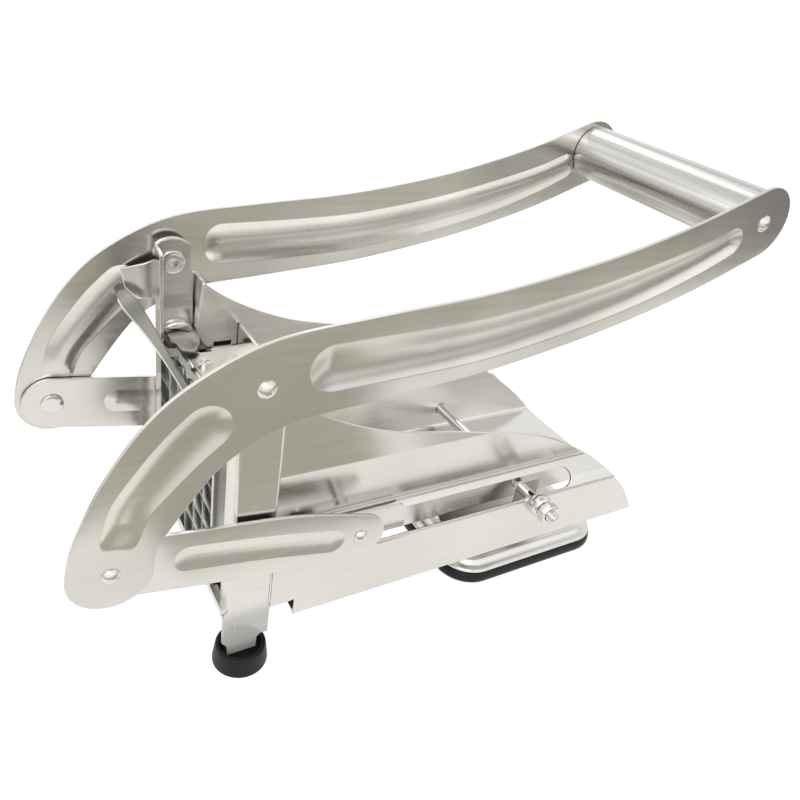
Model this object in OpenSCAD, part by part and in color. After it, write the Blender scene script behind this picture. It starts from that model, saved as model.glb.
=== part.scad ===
// French fry cutter: a lever press that drives a potato through a blade grid.
// +X runs back towards the grip, +Y is the right-hand side, +Z is up, and z = 0
// is the table. The origin is the middle of the suction pad's underside. Places
// along the cutter are counted from the handle pivots, and from_pivot() moves them.

/* [Body] */
// Width over the two uprights and the two side skirts
body_w = 109.2; // [106:0.2:112]
// Distance from the handle pivots back to the middle of the suction pad
pivot_to_pad = 166.5; // [162:0.5:172]
// Height of the handle pivots above the table
pivot_z = 143; // [140:1:146]
// Sheet thickness of the trough and the side skirts
sheet_t = 1.2; // [1:0.1:1.4]
// Sheet thickness of the uprights
upright_t = 1.6; // [1.4:0.1:1.8]
// Inside radius of the bends in the sheet
bend_r = 2; // [1.5:0.25:2.5]

/* [Trough] */
// Height of the trough floor's upper face above the table
floor_z = 34; // [33:0.5:36]
// Distance from each upright's outer face in to the edge of the trough floor
floor_inset = 19.6; // [19.1:0.1:20.1]
// Outward lean of the trough walls in degrees
wall_angle = 15; // [14:0.5:16]
// Width of the slot in the floor that the pusher's stem runs in
stem_slot_w = 13; // [12:0.5:16]

/* [Side skirts] */
// Height above the floor at which each skirt is welded to the trough wall
ledge_rise = 26; // [25:0.5:27]
// Height of the weld flange above the ledge
ledge_flange = 3; // [2.5:0.5:4]
// Drop from the weld line to the outer edge of the ledge
ledge_drop = 7.5; // [7:0.5:8]
// Height of the skirts' lower edge above the table
skirt_z = 18; // [16:0.5:22]
// Height of the notch at each skirt's front corner
notch_h = 9; // [6:0.5:10]
// Length of the notch at each skirt's front corner
notch_l = 11.5; // [9:0.5:14]
// Width of the slot in each ledge
ledge_slot_w = 6.8; // [6.2:0.2:7.2]

/* [Uprights] */
// Length of an upright in front of the handle pivot
upright_front = 7.5; // [7:0.25:8]
// Length of an upright behind the handle pivot
upright_back = 11.5; // [10:0.25:13]
// Width of the flange that holds the blade cartridge back
front_flange = 8; // [7:0.25:8.5]
// Width of the flange at an upright's rear edge
rear_flange = 5; // [4:0.25:5]
// Height of an upright's round-topped ear above the handle pivot
ear_r = 11; // [10:0.25:12]
// Length of a leg's tongue along X
tongue_l = 14; // [12:0.5:16]

/* [Blade grid] */
// Number of cells along each side of the grid
cells = 6; // [6:1:6]
// Distance from one blade to the next
pitch = 12; // [11.8:0.05:12]
// Thickness of a blade
blade_t = 0.7; // [0.5:0.1:1]
// Depth of a blade along X
blade_d = 6.4; // [6:0.1:6.6]
// Wall thickness of the cartridge frame
frame_t = 1.5; // [1.2:0.1:1.6]
// Width of the cartridge's front bezel around the grid
bezel_w = 2; // [1.6:0.1:2.5]
// Distance from the handle pivots forward to the cartridge's rear edge
cartridge_rear = 2; // [1.8:0.1:2.2]

/* [Pusher] */
// Depth of the pusher from its front plate to its back plate
pusher_l = 26; // [22:1:27]
// Thickness of the pusher's front plate
press_t = 2; // [1.5:0.25:3]
// Length of each pressing stud
stud_l = 7.5; // [5:0.5:8]
// Height of the back plate above the trough floor
back_h = 75; // [70:1:78]
// Travel of the pusher
travel = 93.9; // [85:0.1:94]

/* [Links and arms] */
// Thickness of a link
link_t = 1.6; // [1.2:0.1:1.8]
// Gap between an upright and the link that passes it
link_gap = 1.7; // [1.6:0.1:2]
// Gap between a link and the arm outside it
arm_gap = 0.5; // [0.4:0.1:0.8]
// Distance from the handle pivots back to the grip
handle_reach = 244.7; // [235:0.1:250]
// Height of the grip above the handle pivots
handle_rise = 51.5; // [48:0.5:56]
// Thickness of a handle arm
arm_t = 1.6; // [1.4:0.1:2]
// Width of a handle arm
arm_w = 35.2; // [33:0.2:37]
// Depth of the ribs that are pressed into the arms
rib_d = 2.2; // [1.5:0.1:2.4]
// Width of an arm's rib
rib_w = 19; // [16:0.5:20]
// Depth of the rib that is pressed into a link
link_rib_d = 1; // [0.6:0.1:1.2]

/* [Grip] */
// Outside diameter of the grip tube
grip_d = 29; // [26:0.5:30]
// Wall thickness of the grip tube
grip_t = 1.2; // [1:0.1:2]
// Diameter of the rod through the grip
grip_rod_d = 6.4; // [5:0.2:8]

/* [Pins and rivets] */
// Diameter of the handle pivot rivets
pivot_d = 5.4; // [5:0.2:6]
// Diameter of the rivets at the links' front ends
link_rivet_d = 4.4; // [4:0.2:5]
// Diameter of the pins at the links' rear ends
link_pin_d = 6; // [5:0.2:6.4]
// Diameter of the cross rod through the skirts
cross_rod_d = 6; // [5:0.2:6]
// Radial clearance of a pin in its running hole
run_fit = 0.05; // [0.04:0.01:0.08]
// Gap between parts that slide past each other
slide_gap = 0.3; // [0.2:0.05:0.4]

/* [Suction pad and feet] */
// Length of the suction pad along X
pad_l = 105; // [100:1:110]
// Width of the suction pad along Y
pad_w = 117; // [112:1:120]
// Corner radius of the suction pad
pad_r = 19; // [15:0.5:21]
// Thickness of the rubber pad
pad_t = 6; // [5:0.5:7]
// Height of the steel cover above the rubber
cover_h = 9; // [8:0.5:10]
// Diameter of a foot at the table
foot_d = 24; // [23:0.5:26]
// Height of a foot
foot_h = 12; // [11:0.5:13]

/* [Hidden] */
$fn = 48;

steel = [0.78, 0.78, 0.76];
bright_steel = [0.86, 0.86, 0.85];
dark_steel = [0.5, 0.5, 0.49];
rubber = [0.07, 0.07, 0.075];

// Planes across the width, from the middle outwards
upright_out = body_w / 2;
upright_in = upright_out - upright_t;
wall_in = upright_in - sheet_t;
floor_w = body_w - 2 * floor_inset;
link_in = upright_out + link_gap;
link_out = link_in + link_t;
arm_in = link_out + arm_gap;
arm_out = arm_in + arm_t;

// Side outline of the trough and skirts: place behind the pivots, height over the floor
side_points = [[upright_back, 100], [30, 87], [60, 74.5], [100, 66], [147, 53],
    [188, 32], [222, 7], [241, -17]];

// Trough section: the leaning wall reaches its full width at break_h
lean = tan(wall_angle);
break_h = (wall_in - floor_w / 2) / lean;
floor_front = 0.5 - cartridge_rear;
wall_front_h = 42;
wall_slot_h = 63.7;
side_end = side_points[len(side_points) - 1][0] + 4;
wall_top = side_points[0][1] + 4;
grid_w = cells * pitch;
grid_top = floor_z + grid_w;

// Linkage: places of the joints relative to the handle pivot
arm_pin = [-53.6, -68.3];
grip_pin = [handle_reach, handle_rise];
link_pin = [50, -84.5];
arm_line = [[-53.6, -68.3], [-51, -55], [-40.8, -35.9], [-28, -18.4], [-13.4, -7.3], [8.4, 1.7],
    [45, 5.8], [95, 10.9], grip_pin - [94.7, 30.4], grip_pin - [44.7, 16.7], grip_pin];

// Arms' long ribs: where they start, and how far before the grip they end
rib_start = 23;
rib_end = 21.2;

// Half-length of an ear along X behind the pivot
ear_back = 0.75 * ear_r;

// Feet: place along X behind the handle pivots, and the floor of the cup
foot_x = -0.5;
foot_floor = 4.5;

// Blade cartridge, counted forwards from the handle pivots
cartridge_d = 7.7;
cartridge_front = cartridge_rear + cartridge_d;
cartridge_ear = upright_in - 4;
sill_gap = 0.1;

// Pusher, counted back from the handle pivots
stud_front = -cartridge_rear + 0.5;
press_x = stud_front + stud_l;
back_x = press_x + press_t + pusher_l - 2;
stem_x = press_x + press_t + 4;
stem_l = 24;
stem_w = stem_slot_w - 2;
carriage_x = 24;
carriage_l = 26;
carriage_tail = 28;
carriage_z = floor_z - 9;
carriage_t = 1.5;
ear_y = upright_in - 3;
ear_top = pivot_z + link_pin[1] + 5;
slot_rear = carriage_x + carriage_l + carriage_tail + travel + 3;

// Cross rod and pad hangers, counted back from the handle pivots
rod_x = 158;
rod_z = 45;
nut_af = 10;
nut_t = 5;
hanger_l = 16;
hanger_top = rod_z + 7;
hanger_y = (inside(hanger_top - floor_z) + sheet_t / cos(wall_angle)
    + ear_y - carriage_t + upright_t) / 2;
washer_t = 0.8;

module from_pivot() translate([-pivot_to_pad, 0, 0]) children();

// A part with its mirror image on the other side
module both_sides() { children(); mirror([0, 1, 0]) children(); }

// A plate whose outline lies in the X-Z plane, between two distances from the middle
module side_plate(y0, y1) translate([0, y1, 0]) rotate([90, 0, 0])
    linear_extrude(y1 - y0) children();

// A bar whose section lies in the Y-Z plane, between two places along X
module along(x0, x1) translate([x0, 0, 0]) rotate([90, 0, 90]) linear_extrude(x1 - x0) children();

// A pin along Y between two distances from the middle
module cross_pin(x, z, r, y0, y1) translate([x, y1, z]) rotate([90, 0, 0])
    cylinder(r = r, h = y1 - y0);

// A domed rivet head that stands on the plane y = y0 and points along +Y
module dome(x, z, r, h, y0) translate([x, y0, z]) rotate([-90, 0, 0])
    rotate_extrude() difference() {
        translate([0, h - dome_r(r, h)]) circle(dome_r(r, h));
        translate([-2 * r, -4 * r]) square([4 * r, 4 * r]);
        translate([-3 * dome_r(r, h), -2 * r]) square([3 * dome_r(r, h), 6 * r]);
    }
function dome_r(r, h) = (r * r + h * h) / (2 * h);

module rounded_rect(l, w, r) {
    square([l - 2 * r, w], center = true);
    square([l, w - 2 * r], center = true);
    for (x = [-1, 1], y = [-1, 1]) translate([x * (l / 2 - r), y * (w / 2 - r)]) circle(r);
}

// Smooth curve through points of any dimension
function blend(a, b, c, d, t) = 0.5 * (2 * b + (c - a) * t + (2 * a - 5 * b + 4 * c - d) * t * t
    + (3 * b - a - 3 * c + d) * t * t * t);
function curve(p, n) = [for (i = [0:len(p) - 2], k = [0:n - 1])
    blend(p[max(i - 1, 0)], p[i], p[i + 1], p[min(i + 2, len(p) - 1)], k / n), p[len(p) - 1]];

function flat(p) = [p[0], p[1]];
function unit(v) = v / norm(v);
function left_of(v) = [-v[1], v[0]];
function heading(p, i) = unit(flat(p[min(i + 1, len(p) - 1)]) - flat(p[max(i - 1, 0)]));
function arc(c, r, a0, a1, n) = [for (k = [1:n - 1]) c + r * [cos(a0 + (a1 - a0) * k / n),
    sin(a0 + (a1 - a0) * k / n)]];
function angle_of(v) = atan2(v[1], v[0]);
function reverse(p) = [for (i = [len(p) - 1:-1:0]) p[i]];

// Outline of a strip along a path whose third coordinate is its half-width, with round ends
function strip(p) = let (n = len(p) - 1, a = angle_of(heading(p, 0)), b = angle_of(heading(p, n)))
    concat([for (i = [0:n]) flat(p[i]) + left_of(heading(p, i)) * p[i][2]],
        arc(flat(p[n]), p[n][2], b + 90, b - 90, 12),
        [for (i = [n:-1:0]) flat(p[i]) - left_of(heading(p, i)) * p[i][2]],
        arc(flat(p[0]), p[0][2], a - 90, a - 270, 12));

// Path with its inner corners rounded to radius r
function round_path(p, r) = [p[0], each [for (i = [1:len(p) - 2])
    let (u = unit(p[i - 1] - p[i]), v = unit(p[i + 1] - p[i]),
        half = acos(max(-1, min(1, u * v))) / 2, d = r / tan(half),
        c = p[i] + unit(u + v) * r / sin(half),
        a0 = angle_of(p[i] + u * d - c), a1 = angle_of(p[i] + v * d - c),
        turn = (a1 - a0 + 540) % 360 - 180)
    each [for (k = [0:5]) c + r * [cos(a0 + turn * k / 5), sin(a0 + turn * k / 5)]]], p[len(p) - 1]];

// Closed section of a bent sheet: the path is one face and t is measured to its left
function edge_side(p, i) = let (n = len(p) - 1,
    a = left_of(unit(p[min(i + 1, n)] - p[min(i, n - 1)])),
    b = left_of(unit(p[max(i, 1)] - p[max(i - 1, 0)])))
    unit(a + b) / sqrt((1 + a * b) / 2);
function sheet(p, t) = concat(p, reverse([for (i = [0:len(p) - 1]) p[i] + t * edge_side(p, i)]));
function mirrored(p) = reverse([for (q = p) [-q[0], q[1]]]);

// Half-width between the trough walls at a height over the floor
function inside(h) = min(wall_in, floor_w / 2 + h * lean);

side_curve = [for (q = curve(side_points, 6)) [q[0], floor_z + q[1]]];
skirt_y = floor_w / 2 + ledge_rise * lean + sheet_t / cos(wall_angle);
upright_bend = [[-upright_front, upright_in - front_flange], [-upright_front, upright_out],
    [upright_back, upright_out], [upright_back, upright_in - rear_flange]];

/* Body */

module trough_section() {
    half = [[floor_w / 2, floor_z], [wall_in, floor_z + break_h], [wall_in, floor_z + wall_top]];
    polygon(sheet(reverse(round_path(concat(mirrored(half), half), bend_r)), sheet_t));
}

module trough() color(steel) from_pivot() difference() {
    intersection() {
        along(floor_front, side_end) trough_section();
        side_plate(-body_w / 2, body_w / 2) polygon(concat(
            [[side_end, skirt_z], [floor_front, skirt_z], [floor_front, floor_z + wall_front_h],
                [upright_back, floor_z + wall_front_h]], side_curve));
    }
    translate([stem_x - 2, -stem_slot_w / 2, floor_z - 5])
        cube([stem_l + travel + 5, stem_slot_w, 8]);
    translate([20, 0, floor_z + wall_slot_h]) cube([9, body_w, 2.6]);
    cross_pin(rod_x, rod_z, cross_rod_d / 2 + slide_gap, -body_w / 2, body_w / 2);
}

// The left skirt is drawn on the +Y side and mirrored into place
module skirt() from_pivot() difference() {
    intersection() {
        along(upright_back, side_end) polygon(sheet(round_path([
            [skirt_y + ledge_flange * lean, floor_z + ledge_rise + ledge_flange],
            [skirt_y, floor_z + ledge_rise],
            [upright_out - sheet_t - 3, floor_z + ledge_rise - ledge_drop],
            [upright_out - sheet_t, floor_z + ledge_rise - ledge_drop - 5],
            [upright_out - sheet_t, skirt_z - 2]], 1.5), sheet_t));
        side_plate(0, body_w) polygon(concat([[upright_back + notch_l, skirt_z],
            [upright_back + notch_l, skirt_z + notch_h],
            [upright_back, skirt_z + notch_h]], side_curve));
    }
    ledge_slot();
    cross_pin(rod_x, rod_z, cross_rod_d / 2 + run_fit, 0, body_w);
}

// Slot that the carriage's ears slide in
module ledge_slot() translate([0, ear_y - carriage_t / 2, rod_z + 3]) {
    translate([20, -ledge_slot_w / 2, 0]) cube([slot_rear - 20, ledge_slot_w, 40]);
    translate([slot_rear, 0, 0]) cylinder(r = ledge_slot_w / 2, h = 40);
}

module left_skirt() color(steel) mirror([0, 1, 0]) skirt();
module right_skirt() color(steel) skirt();

// Round top cut straight in front and behind, over a handle pivot
module ear(front, back) translate([0, pivot_z]) intersection() {
    circle(ear_r);
    translate([-front, -ear_r]) square([front + back, 2 * ear_r]);
}

// Outline of an upright with its ear, front wing, leg and tongue
module upright_outline() {
    ear(upright_front, ear_back);
    translate([-upright_front, 60]) square([upright_front + upright_back, pivot_z - 60 - ear_r / 2]);
    polygon([[-upright_front, pivot_z + 1.5], [-22, pivot_z - 4], [-20.5, pivot_z - 12.5],
        [-15, pivot_z - 18], [-upright_front, pivot_z - 17.5]]);
    translate([-upright_front - 2, foot_h + 0.2]) square([upright_front + 2 + upright_back, 60]);
    translate([foot_x - tongue_l / 2, foot_floor]) square([tongue_l, foot_h]);
}

module upright() from_pivot() difference() {
    union() {
        side_plate(upright_in, upright_out) upright_outline();
        intersection() {
            translate([0, 0, floor_z - bezel_w]) linear_extrude(pivot_z)
                polygon(sheet(round_path(upright_bend, upright_t + 0.4), -upright_t));
            side_plate(0, body_w) upright_outline();
        }
    }
    cross_pin(0, pivot_z, pivot_d / 2, 0, body_w);
}

module left_upright() color(steel) mirror([0, 1, 0]) upright();
module right_upright() color(steel) upright();

// Rise of a circular bow that is almost upright at its ends
function bow(y) = 1 - sqrt(1 - pow(y / (upright_in + 1), 2));

// Bowed strip that ties the two front wings together over the blade cartridge
module front_brace() color(bright_steel) from_pivot() {
    middle = [-12, grid_top + 6];
    end = [-26, pivot_z - 15];
    reach = norm(end - middle);
    steps = [for (k = [-10:10]) upright_in * sin(9 * k)];
    translate([middle[0], 0, middle[1]]) rotate([0, atan2(end[0] - middle[0], end[1] - middle[1]), 0])
        intersection() {
            along(0, 10) polygon(sheet(
                [for (y = steps) [y, reach * bow(y) / bow(upright_in)]], sheet_t));
            translate([0, 0, -5]) linear_extrude(reach + 10) polygon(concat(
                [for (y = steps) [2.2 + 6.8 * pow(abs(y) / upright_in, 1.5), y]],
                [[-1, upright_in], [-1, -upright_in]]));
        }
}

// Strip under the blade cartridge that carries it and ties the legs together
module front_sill() color(steel) from_pivot() {
    sill_top = floor_z - bezel_w - sill_gap;
    translate([-cartridge_front, -upright_in, sill_top - upright_t])
        cube([cartridge_d + 0.3, upright_in * 2, upright_t]);
    translate([-cartridge_front, -upright_in, sill_top - 3.5]) cube([upright_t, upright_in * 2, 3.5]);
}

// Spring clip inside an upright: its bead stiffens it and its tab backs the cartridge
module clip() from_pivot() difference() {
    front = upright_front - upright_t - 0.6;
    back = upright_back - upright_t - 0.8;
    intersection() {
        along(-20, 20) polygon(sheet(concat([[upright_in, pivot_z + 12], [upright_in, grid_top + 8]],
            arc([upright_in, grid_top + 5.5], 2.5, 90, 270, 8),
            [[upright_in, grid_top + 3], [upright_in, grid_top + 0.5], [upright_in - 3, grid_top - 4],
                [upright_in - 13, grid_top - 11]]), -sheet_t));
        side_plate(0, body_w) {
            ear(front, back - 1.3);
            polygon([[-front, pivot_z], [-front, grid_top + 3], [-3.8, grid_top + 1],
                [-3.8, grid_top - 4], [-1.5, grid_top - 7], [1.5, grid_top - 8.8],
                [5.5, grid_top - 9], [back - 1, grid_top - 6.5], [back, grid_top - 2],
                [back, pivot_z - 8], [back - 1.3, pivot_z]]);
        }
    }
    cross_pin(0, pivot_z, pivot_d / 2, 0, body_w);
}

module left_blade_clip() color(bright_steel) mirror([0, 1, 0]) clip();
module right_blade_clip() color(bright_steel) clip();

// Rivets that the handle turns on, with their inner ends set over the clips
module pivot_rivets() color(bright_steel) from_pivot() both_sides() {
    cross_pin(0, pivot_z, pivot_d / 2, upright_in - sheet_t, arm_out + run_fit);
    dome(0, pivot_z, pivot_d / 2 + 1, 1.9, arm_out + run_fit);
    cross_pin(0, pivot_z, pivot_d / 2 + 2, upright_in - sheet_t - 1.2, upright_in - sheet_t);
}

// Rings that hold the arms clear of the uprights
module pivot_spacers() color(dark_steel) from_pivot() both_sides() difference() {
    cross_pin(0, pivot_z, pivot_d / 2 + 4, upright_out, arm_in - 0.1);
    cross_pin(0, pivot_z, pivot_d / 2, upright_out - 1, arm_in + 1);
}

// Flared rubber cup that the leg's tongue stands in
module foot() from_pivot() translate([foot_x, upright_out - upright_t / 2, 0]) rotate_extrude()
    polygon([[0, 0], [foot_d / 2 - 0.8, 0], [foot_d / 2, 0.8], [foot_d / 2 - 1.2, foot_h],
        [foot_d / 2 - 3.2, foot_h], [foot_d / 2 - 3.6, foot_floor], [0, foot_floor]]);

module left_foot() color(rubber) mirror([0, 1, 0]) foot();
module right_foot() color(rubber) foot();

/* Suction pad */

module rubber_pad() color(rubber) difference() {
    linear_extrude(pad_t) rounded_rect(pad_l, pad_w, pad_r);
    translate([0, 0, -1]) linear_extrude(1.8) difference() {
        rounded_rect(pad_l - 12, pad_w - 12, pad_r - 6);
        rounded_rect(pad_l - 20, pad_w - 20, pad_r - 10);
    }
}

// Stepped steel lid over the rubber
module pad_cover() color(steel) difference() {
    union() {
        for (step = [[3, 1 / 3, 1.5], [10, 2 / 3, 5], [20, 1, 7]]) translate([0, 0, pad_t])
            linear_extrude(cover_h * step[1])
                rounded_rect(pad_l - step[0], pad_w - step[0], pad_r - step[2]);
    }
    translate([0, 0, pad_t - 1]) linear_extrude(cover_h - sheet_t + 1)
        rounded_rect(pad_l - 20 - 2 * sheet_t, pad_w - 20 - 2 * sheet_t, pad_r - 8);
}

// Angle bracket that hangs the pad on the cross rod
module hanger() from_pivot() difference() {
    along(rod_x - hanger_l / 2, rod_x + hanger_l / 2) polygon(sheet(round_path([
        [hanger_y - 12, pad_t + cover_h], [hanger_y, pad_t + cover_h], [hanger_y, hanger_top]], 2),
        upright_t));
    cross_pin(rod_x, rod_z, cross_rod_d / 2, 0, body_w);
}

module left_pad_hanger() color(steel) mirror([0, 1, 0]) hanger();
module right_pad_hanger() color(steel) hanger();

module cross_rod() color(bright_steel) from_pivot()
    cross_pin(rod_x, rod_z, cross_rod_d / 2, -upright_out - 16, upright_out + 16);

module cross_rod_nuts() color(bright_steel) from_pivot() both_sides() for (k = [0, 1])
    translate([rod_x, upright_out + washer_t + k * (nut_t + 0.6), rod_z]) rotate([-90, 15 * k, 0])
        difference() {
            cylinder(d = nut_af / cos(30), h = nut_t, $fn = 6);
            translate([0, 0, -1]) cylinder(d = cross_rod_d, h = nut_t + 2);
        }

module cross_rod_washers() color(steel) from_pivot() both_sides() difference() {
    cross_pin(rod_x, rod_z, nut_af / 2 + 1.2, upright_out, upright_out + washer_t);
    cross_pin(rod_x, rod_z, cross_rod_d / 2, upright_out - 1, upright_out + washer_t + 1);
}

/* Blade cartridge */

module grid_square(margin) square(grid_w + 2 * margin, center = true);

module cartridge_frame() color(bright_steel) from_pivot() translate([0, 0, floor_z + grid_w / 2]) {
    along(-cartridge_front, -cartridge_front + frame_t) difference() {
        grid_square(bezel_w);
        grid_square(0);
    }
    difference() {
        along(-cartridge_front + frame_t, -cartridge_rear) difference() {
            grid_square(frame_t);
            grid_square(0);
        }
        translate([-cartridge_front + frame_t + 0.8, -grid_w / 2 + pitch / 2, grid_w / 2 - 1])
            cube([cartridge_d - 2 * frame_t - 1.2, grid_w - pitch, frame_t + 2]);
    }
    ear_x = -upright_front + upright_t + 0.2;
    for (side = [-1, 1]) along(ear_x, ear_x + frame_t)
        translate([side * (grid_w / 2 + frame_t + cartridge_ear) / 2, 0])
            square([cartridge_ear - grid_w / 2 - frame_t, grid_w], center = true);
}

// Section of a blade along X, sharpened at its rear edge
module blade_section() polygon([[0, -blade_t / 2], [blade_d - 1.5, -blade_t / 2], [blade_d, 0],
    [blade_d - 1.5, blade_t / 2], [0, blade_t / 2]]);

function blade_places() = [for (k = [1:cells - 1]) (k - cells / 2) * pitch];

module vertical_blades() color(bright_steel) from_pivot()
    for (y = blade_places()) translate([-cartridge_front + 0.5, y, floor_z]) difference() {
        linear_extrude(grid_w) blade_section();
        for (z = blade_places()) translate([blade_d / 2, -blade_t, grid_w / 2 + z - blade_t / 2])
            cube([blade_d, 2 * blade_t, blade_t]);
    }

module horizontal_blades() color(bright_steel) from_pivot()
    for (z = blade_places()) translate([-cartridge_front + 0.5, 0, floor_z + grid_w / 2 + z])
        difference() {
        rotate([90, 0, 0]) linear_extrude(grid_w, center = true) blade_section();
        for (y = blade_places()) translate([-1, y - blade_t / 2, -blade_t])
            cube([blade_d / 2 + 1, blade_t, 2 * blade_t]);
    }

/* Pusher */

// Section that clears the trough, up to a height over the floor and a distance from the middle
module in_trough(h, half) {
    low = slide_gap + 0.7;
    intersection() {
        translate([-half, floor_z]) square([2 * half, h]);
        polygon([[low - wall_in, floor_z + wall_top + h], [low - wall_in, floor_z + break_h],
            [low - inside(low), floor_z + low], [inside(low) - low, floor_z + low],
            [wall_in - low, floor_z + break_h], [wall_in - low, floor_z + wall_top + h]]);
    }
}

module press_plate() color(steel) from_pivot()
    along(press_x, press_x + press_t) in_trough(grid_w - sheet_t, grid_w / 2);

module press_studs() color(steel) from_pivot() {
    size = pitch - blade_t - 1.7;
    for (j = [0:cells - 1], k = [0:cells - 1])
        translate([stud_front, (j - cells / 2 + 0.5) * pitch - size / 2,
                floor_z + (k + 0.5) * pitch - size / 2])
            cube([stud_l, size, size]);
}

// Hollow box between the front and back plates, whose top runs on forward over the studs
module pusher_box() color(steel) from_pivot() {
    half = floor_w / 2 - 1.5;
    low = floor_z + slide_gap + 0.7;
    along(press_x + press_t, back_x) difference() {
        polygon([[-half, low], [half, low], [half, grid_top], [-half, grid_top]]);
        polygon([[sheet_t - half, low + sheet_t], [half - sheet_t, low + sheet_t],
            [half - sheet_t, grid_top - sheet_t], [sheet_t - half, grid_top - sheet_t]]);
    }
    translate([stud_front + 2, -half, grid_top - sheet_t])
        cube([press_x + press_t - stud_front - 1, 2 * half, sheet_t]);
}

module pusher_back() color(steel) from_pivot() along(back_x, back_x + frame_t) in_trough(back_h, wall_in);

module pusher_stem() color(dark_steel) from_pivot()
    translate([stem_x, -stem_w / 2, carriage_z + carriage_t])
        cube([stem_l, stem_w, floor_z + slide_gap + 0.7 - carriage_z - carriage_t]);

module pusher_screws() color(bright_steel) from_pivot() both_sides()
    translate([press_x, grid_w / 2 - 13, grid_top]) difference() {
        cylinder(d = 7, h = 1.6);
        for (a = [0, 90]) rotate(a) translate([-2.5, -0.5, 0.8]) cube([5, 1, 2]);
    }

// Cradle under the floor whose ears rise through the ledge slots to the links
module carriage() color(steel) from_pivot() difference() {
    intersection() {
        along(carriage_x, carriage_x + carriage_l + carriage_tail) polygon(sheet(reverse(round_path([
            [-ear_y + carriage_t, ear_top + 1], [-ear_y + carriage_t, carriage_z + carriage_t],
            [ear_y - carriage_t, carriage_z + carriage_t], [ear_y - carriage_t, ear_top + 1]], bend_r)),
            carriage_t));
        side_plate(-body_w, body_w) polygon(concat([[carriage_x, carriage_z],
            [carriage_x + carriage_l, carriage_z],
            [carriage_x + carriage_l, rod_z + cross_rod_d / 2 + 1.5],
            [carriage_x + carriage_l + carriage_tail, rod_z + cross_rod_d / 2 + 1.5]],
            arc([carriage_x + carriage_l + carriage_tail - 5, ear_top - 5], 5, 0, 90, 6),
            arc([carriage_x + 5, ear_top - 5], 5, 90, 180, 6)));
    }
    cross_pin(link_pin[0], pivot_z + link_pin[1], link_pin_d / 2 - 1, -body_w, body_w);
}

// Pins that reach out from the ears to the links
module link_pins() color(bright_steel) from_pivot() both_sides() {
    cross_pin(link_pin[0], pivot_z + link_pin[1], link_pin_d / 2, ear_y, link_in - 0.1);
    cross_pin(link_pin[0], pivot_z + link_pin[1], link_pin_d / 2 - 1, ear_y - carriage_t, ear_y);
    cross_pin(link_pin[0], pivot_z + link_pin[1], link_pin_d / 2, ear_y - carriage_t - 0.8,
        ear_y - carriage_t);
}

/* Links */

link_path = curve([[arm_pin[0], arm_pin[1], 13], [-12, -74.3, 14.2], [19, -78.8, 14.4],
    [link_pin[0], link_pin[1], 11.6]], 5);
link_rib_path = [for (q = curve([[-25, -71.5, 0], [6, -76.5, 0], [36, -83, 0]], 4)) [q[0], q[1], 6]];

module link() from_pivot() difference() {
    translate([0, 0, pivot_z]) union() {
        side_plate(link_in, link_out) polygon(strip(link_path));
        side_plate(link_in - link_rib_d, link_in + link_t / 2) polygon(strip(link_rib_path));
    }
    translate([0, 0, pivot_z]) side_plate(link_out - link_rib_d, link_out + 1)
        polygon(strip([for (q = link_rib_path) [q[0], q[1], q[2] - 1]]));
    cross_pin(link_pin[0], pivot_z + link_pin[1], link_pin_d / 2, 0, body_w);
    cross_pin(arm_pin[0], pivot_z + arm_pin[1], link_rivet_d / 2 + run_fit, 0, body_w);
}

module left_link() color(steel) mirror([0, 1, 0]) link();
module right_link() color(steel) link();

// Rivet end in a link's rear hole
module rear_rivet() from_pivot() {
    cross_pin(link_pin[0], pivot_z + link_pin[1], link_pin_d / 2, link_in, link_out);
    dome(link_pin[0], pivot_z + link_pin[1], link_pin_d / 2 + 0.4, 1.9, link_out);
}

module left_rear_rivet() color(bright_steel) mirror([0, 1, 0]) rear_rivet();
module right_rear_rivet() color(bright_steel) rear_rivet();

/* Handle */

arm_widths = [for (w = [-2.4, -2.7, -1.3, -0.5, 0.1, 0.3, 0.4, 0.2, 0, -0.1, -0.3]) arm_w / 2 + w];
arm_path = curve([for (i = [0:len(arm_line) - 1]) [arm_line[i][0], arm_line[i][1], arm_widths[i]]], 5);

// Stretch of the arm's centre line between two places along X
function rib_line(x0, x1, half) = [for (q = curve([for (p = arm_line) [p[0], p[1], 0]], 5))
    if (q[0] > x0 && q[0] < x1) [q[0], q[1], half]];
long_rib = rib_line(rib_start, handle_reach - rib_end, rib_w / 2);
short_rib = rib_line(-48, -17, rib_w / 2 - 1.5);

module rib_cut(rib) polygon(strip([for (q = rib) [q[0], q[1], q[2] - arm_t]]));

module arm() from_pivot() difference() {
    translate([0, 0, pivot_z]) union() {
        side_plate(arm_in, arm_out) polygon(strip(arm_path));
        side_plate(arm_in - rib_d, arm_in + arm_t / 2)
            for (rib = [long_rib, short_rib]) polygon(strip(rib));
    }
    translate([0, 0, pivot_z]) side_plate(arm_out - rib_d, arm_out + 1)
        for (rib = [long_rib, short_rib]) rib_cut(rib);
    cross_pin(0, pivot_z, pivot_d / 2 + run_fit, 0, body_w);
    cross_pin(arm_pin[0], pivot_z + arm_pin[1], link_rivet_d / 2, 0, body_w);
    cross_pin(grip_pin[0], pivot_z + grip_pin[1], grip_rod_d / 2, 0, body_w);
}

module left_arm() color(steel) mirror([0, 1, 0]) arm();
module right_arm() color(steel) arm();

// Rivets that hold the links on the front ends of the arms
module front_rivets() color(bright_steel) from_pivot() both_sides() {
    cross_pin(arm_pin[0], pivot_z + arm_pin[1], link_rivet_d / 2, link_in - 0.1, arm_out);
    dome(arm_pin[0], pivot_z + arm_pin[1], link_rivet_d / 2 + 1.2, 1.9, arm_out);
    cross_pin(arm_pin[0], pivot_z + arm_pin[1], link_rivet_d / 2 + 2.8, link_in - 1.1, link_in - 0.1);
}

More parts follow.
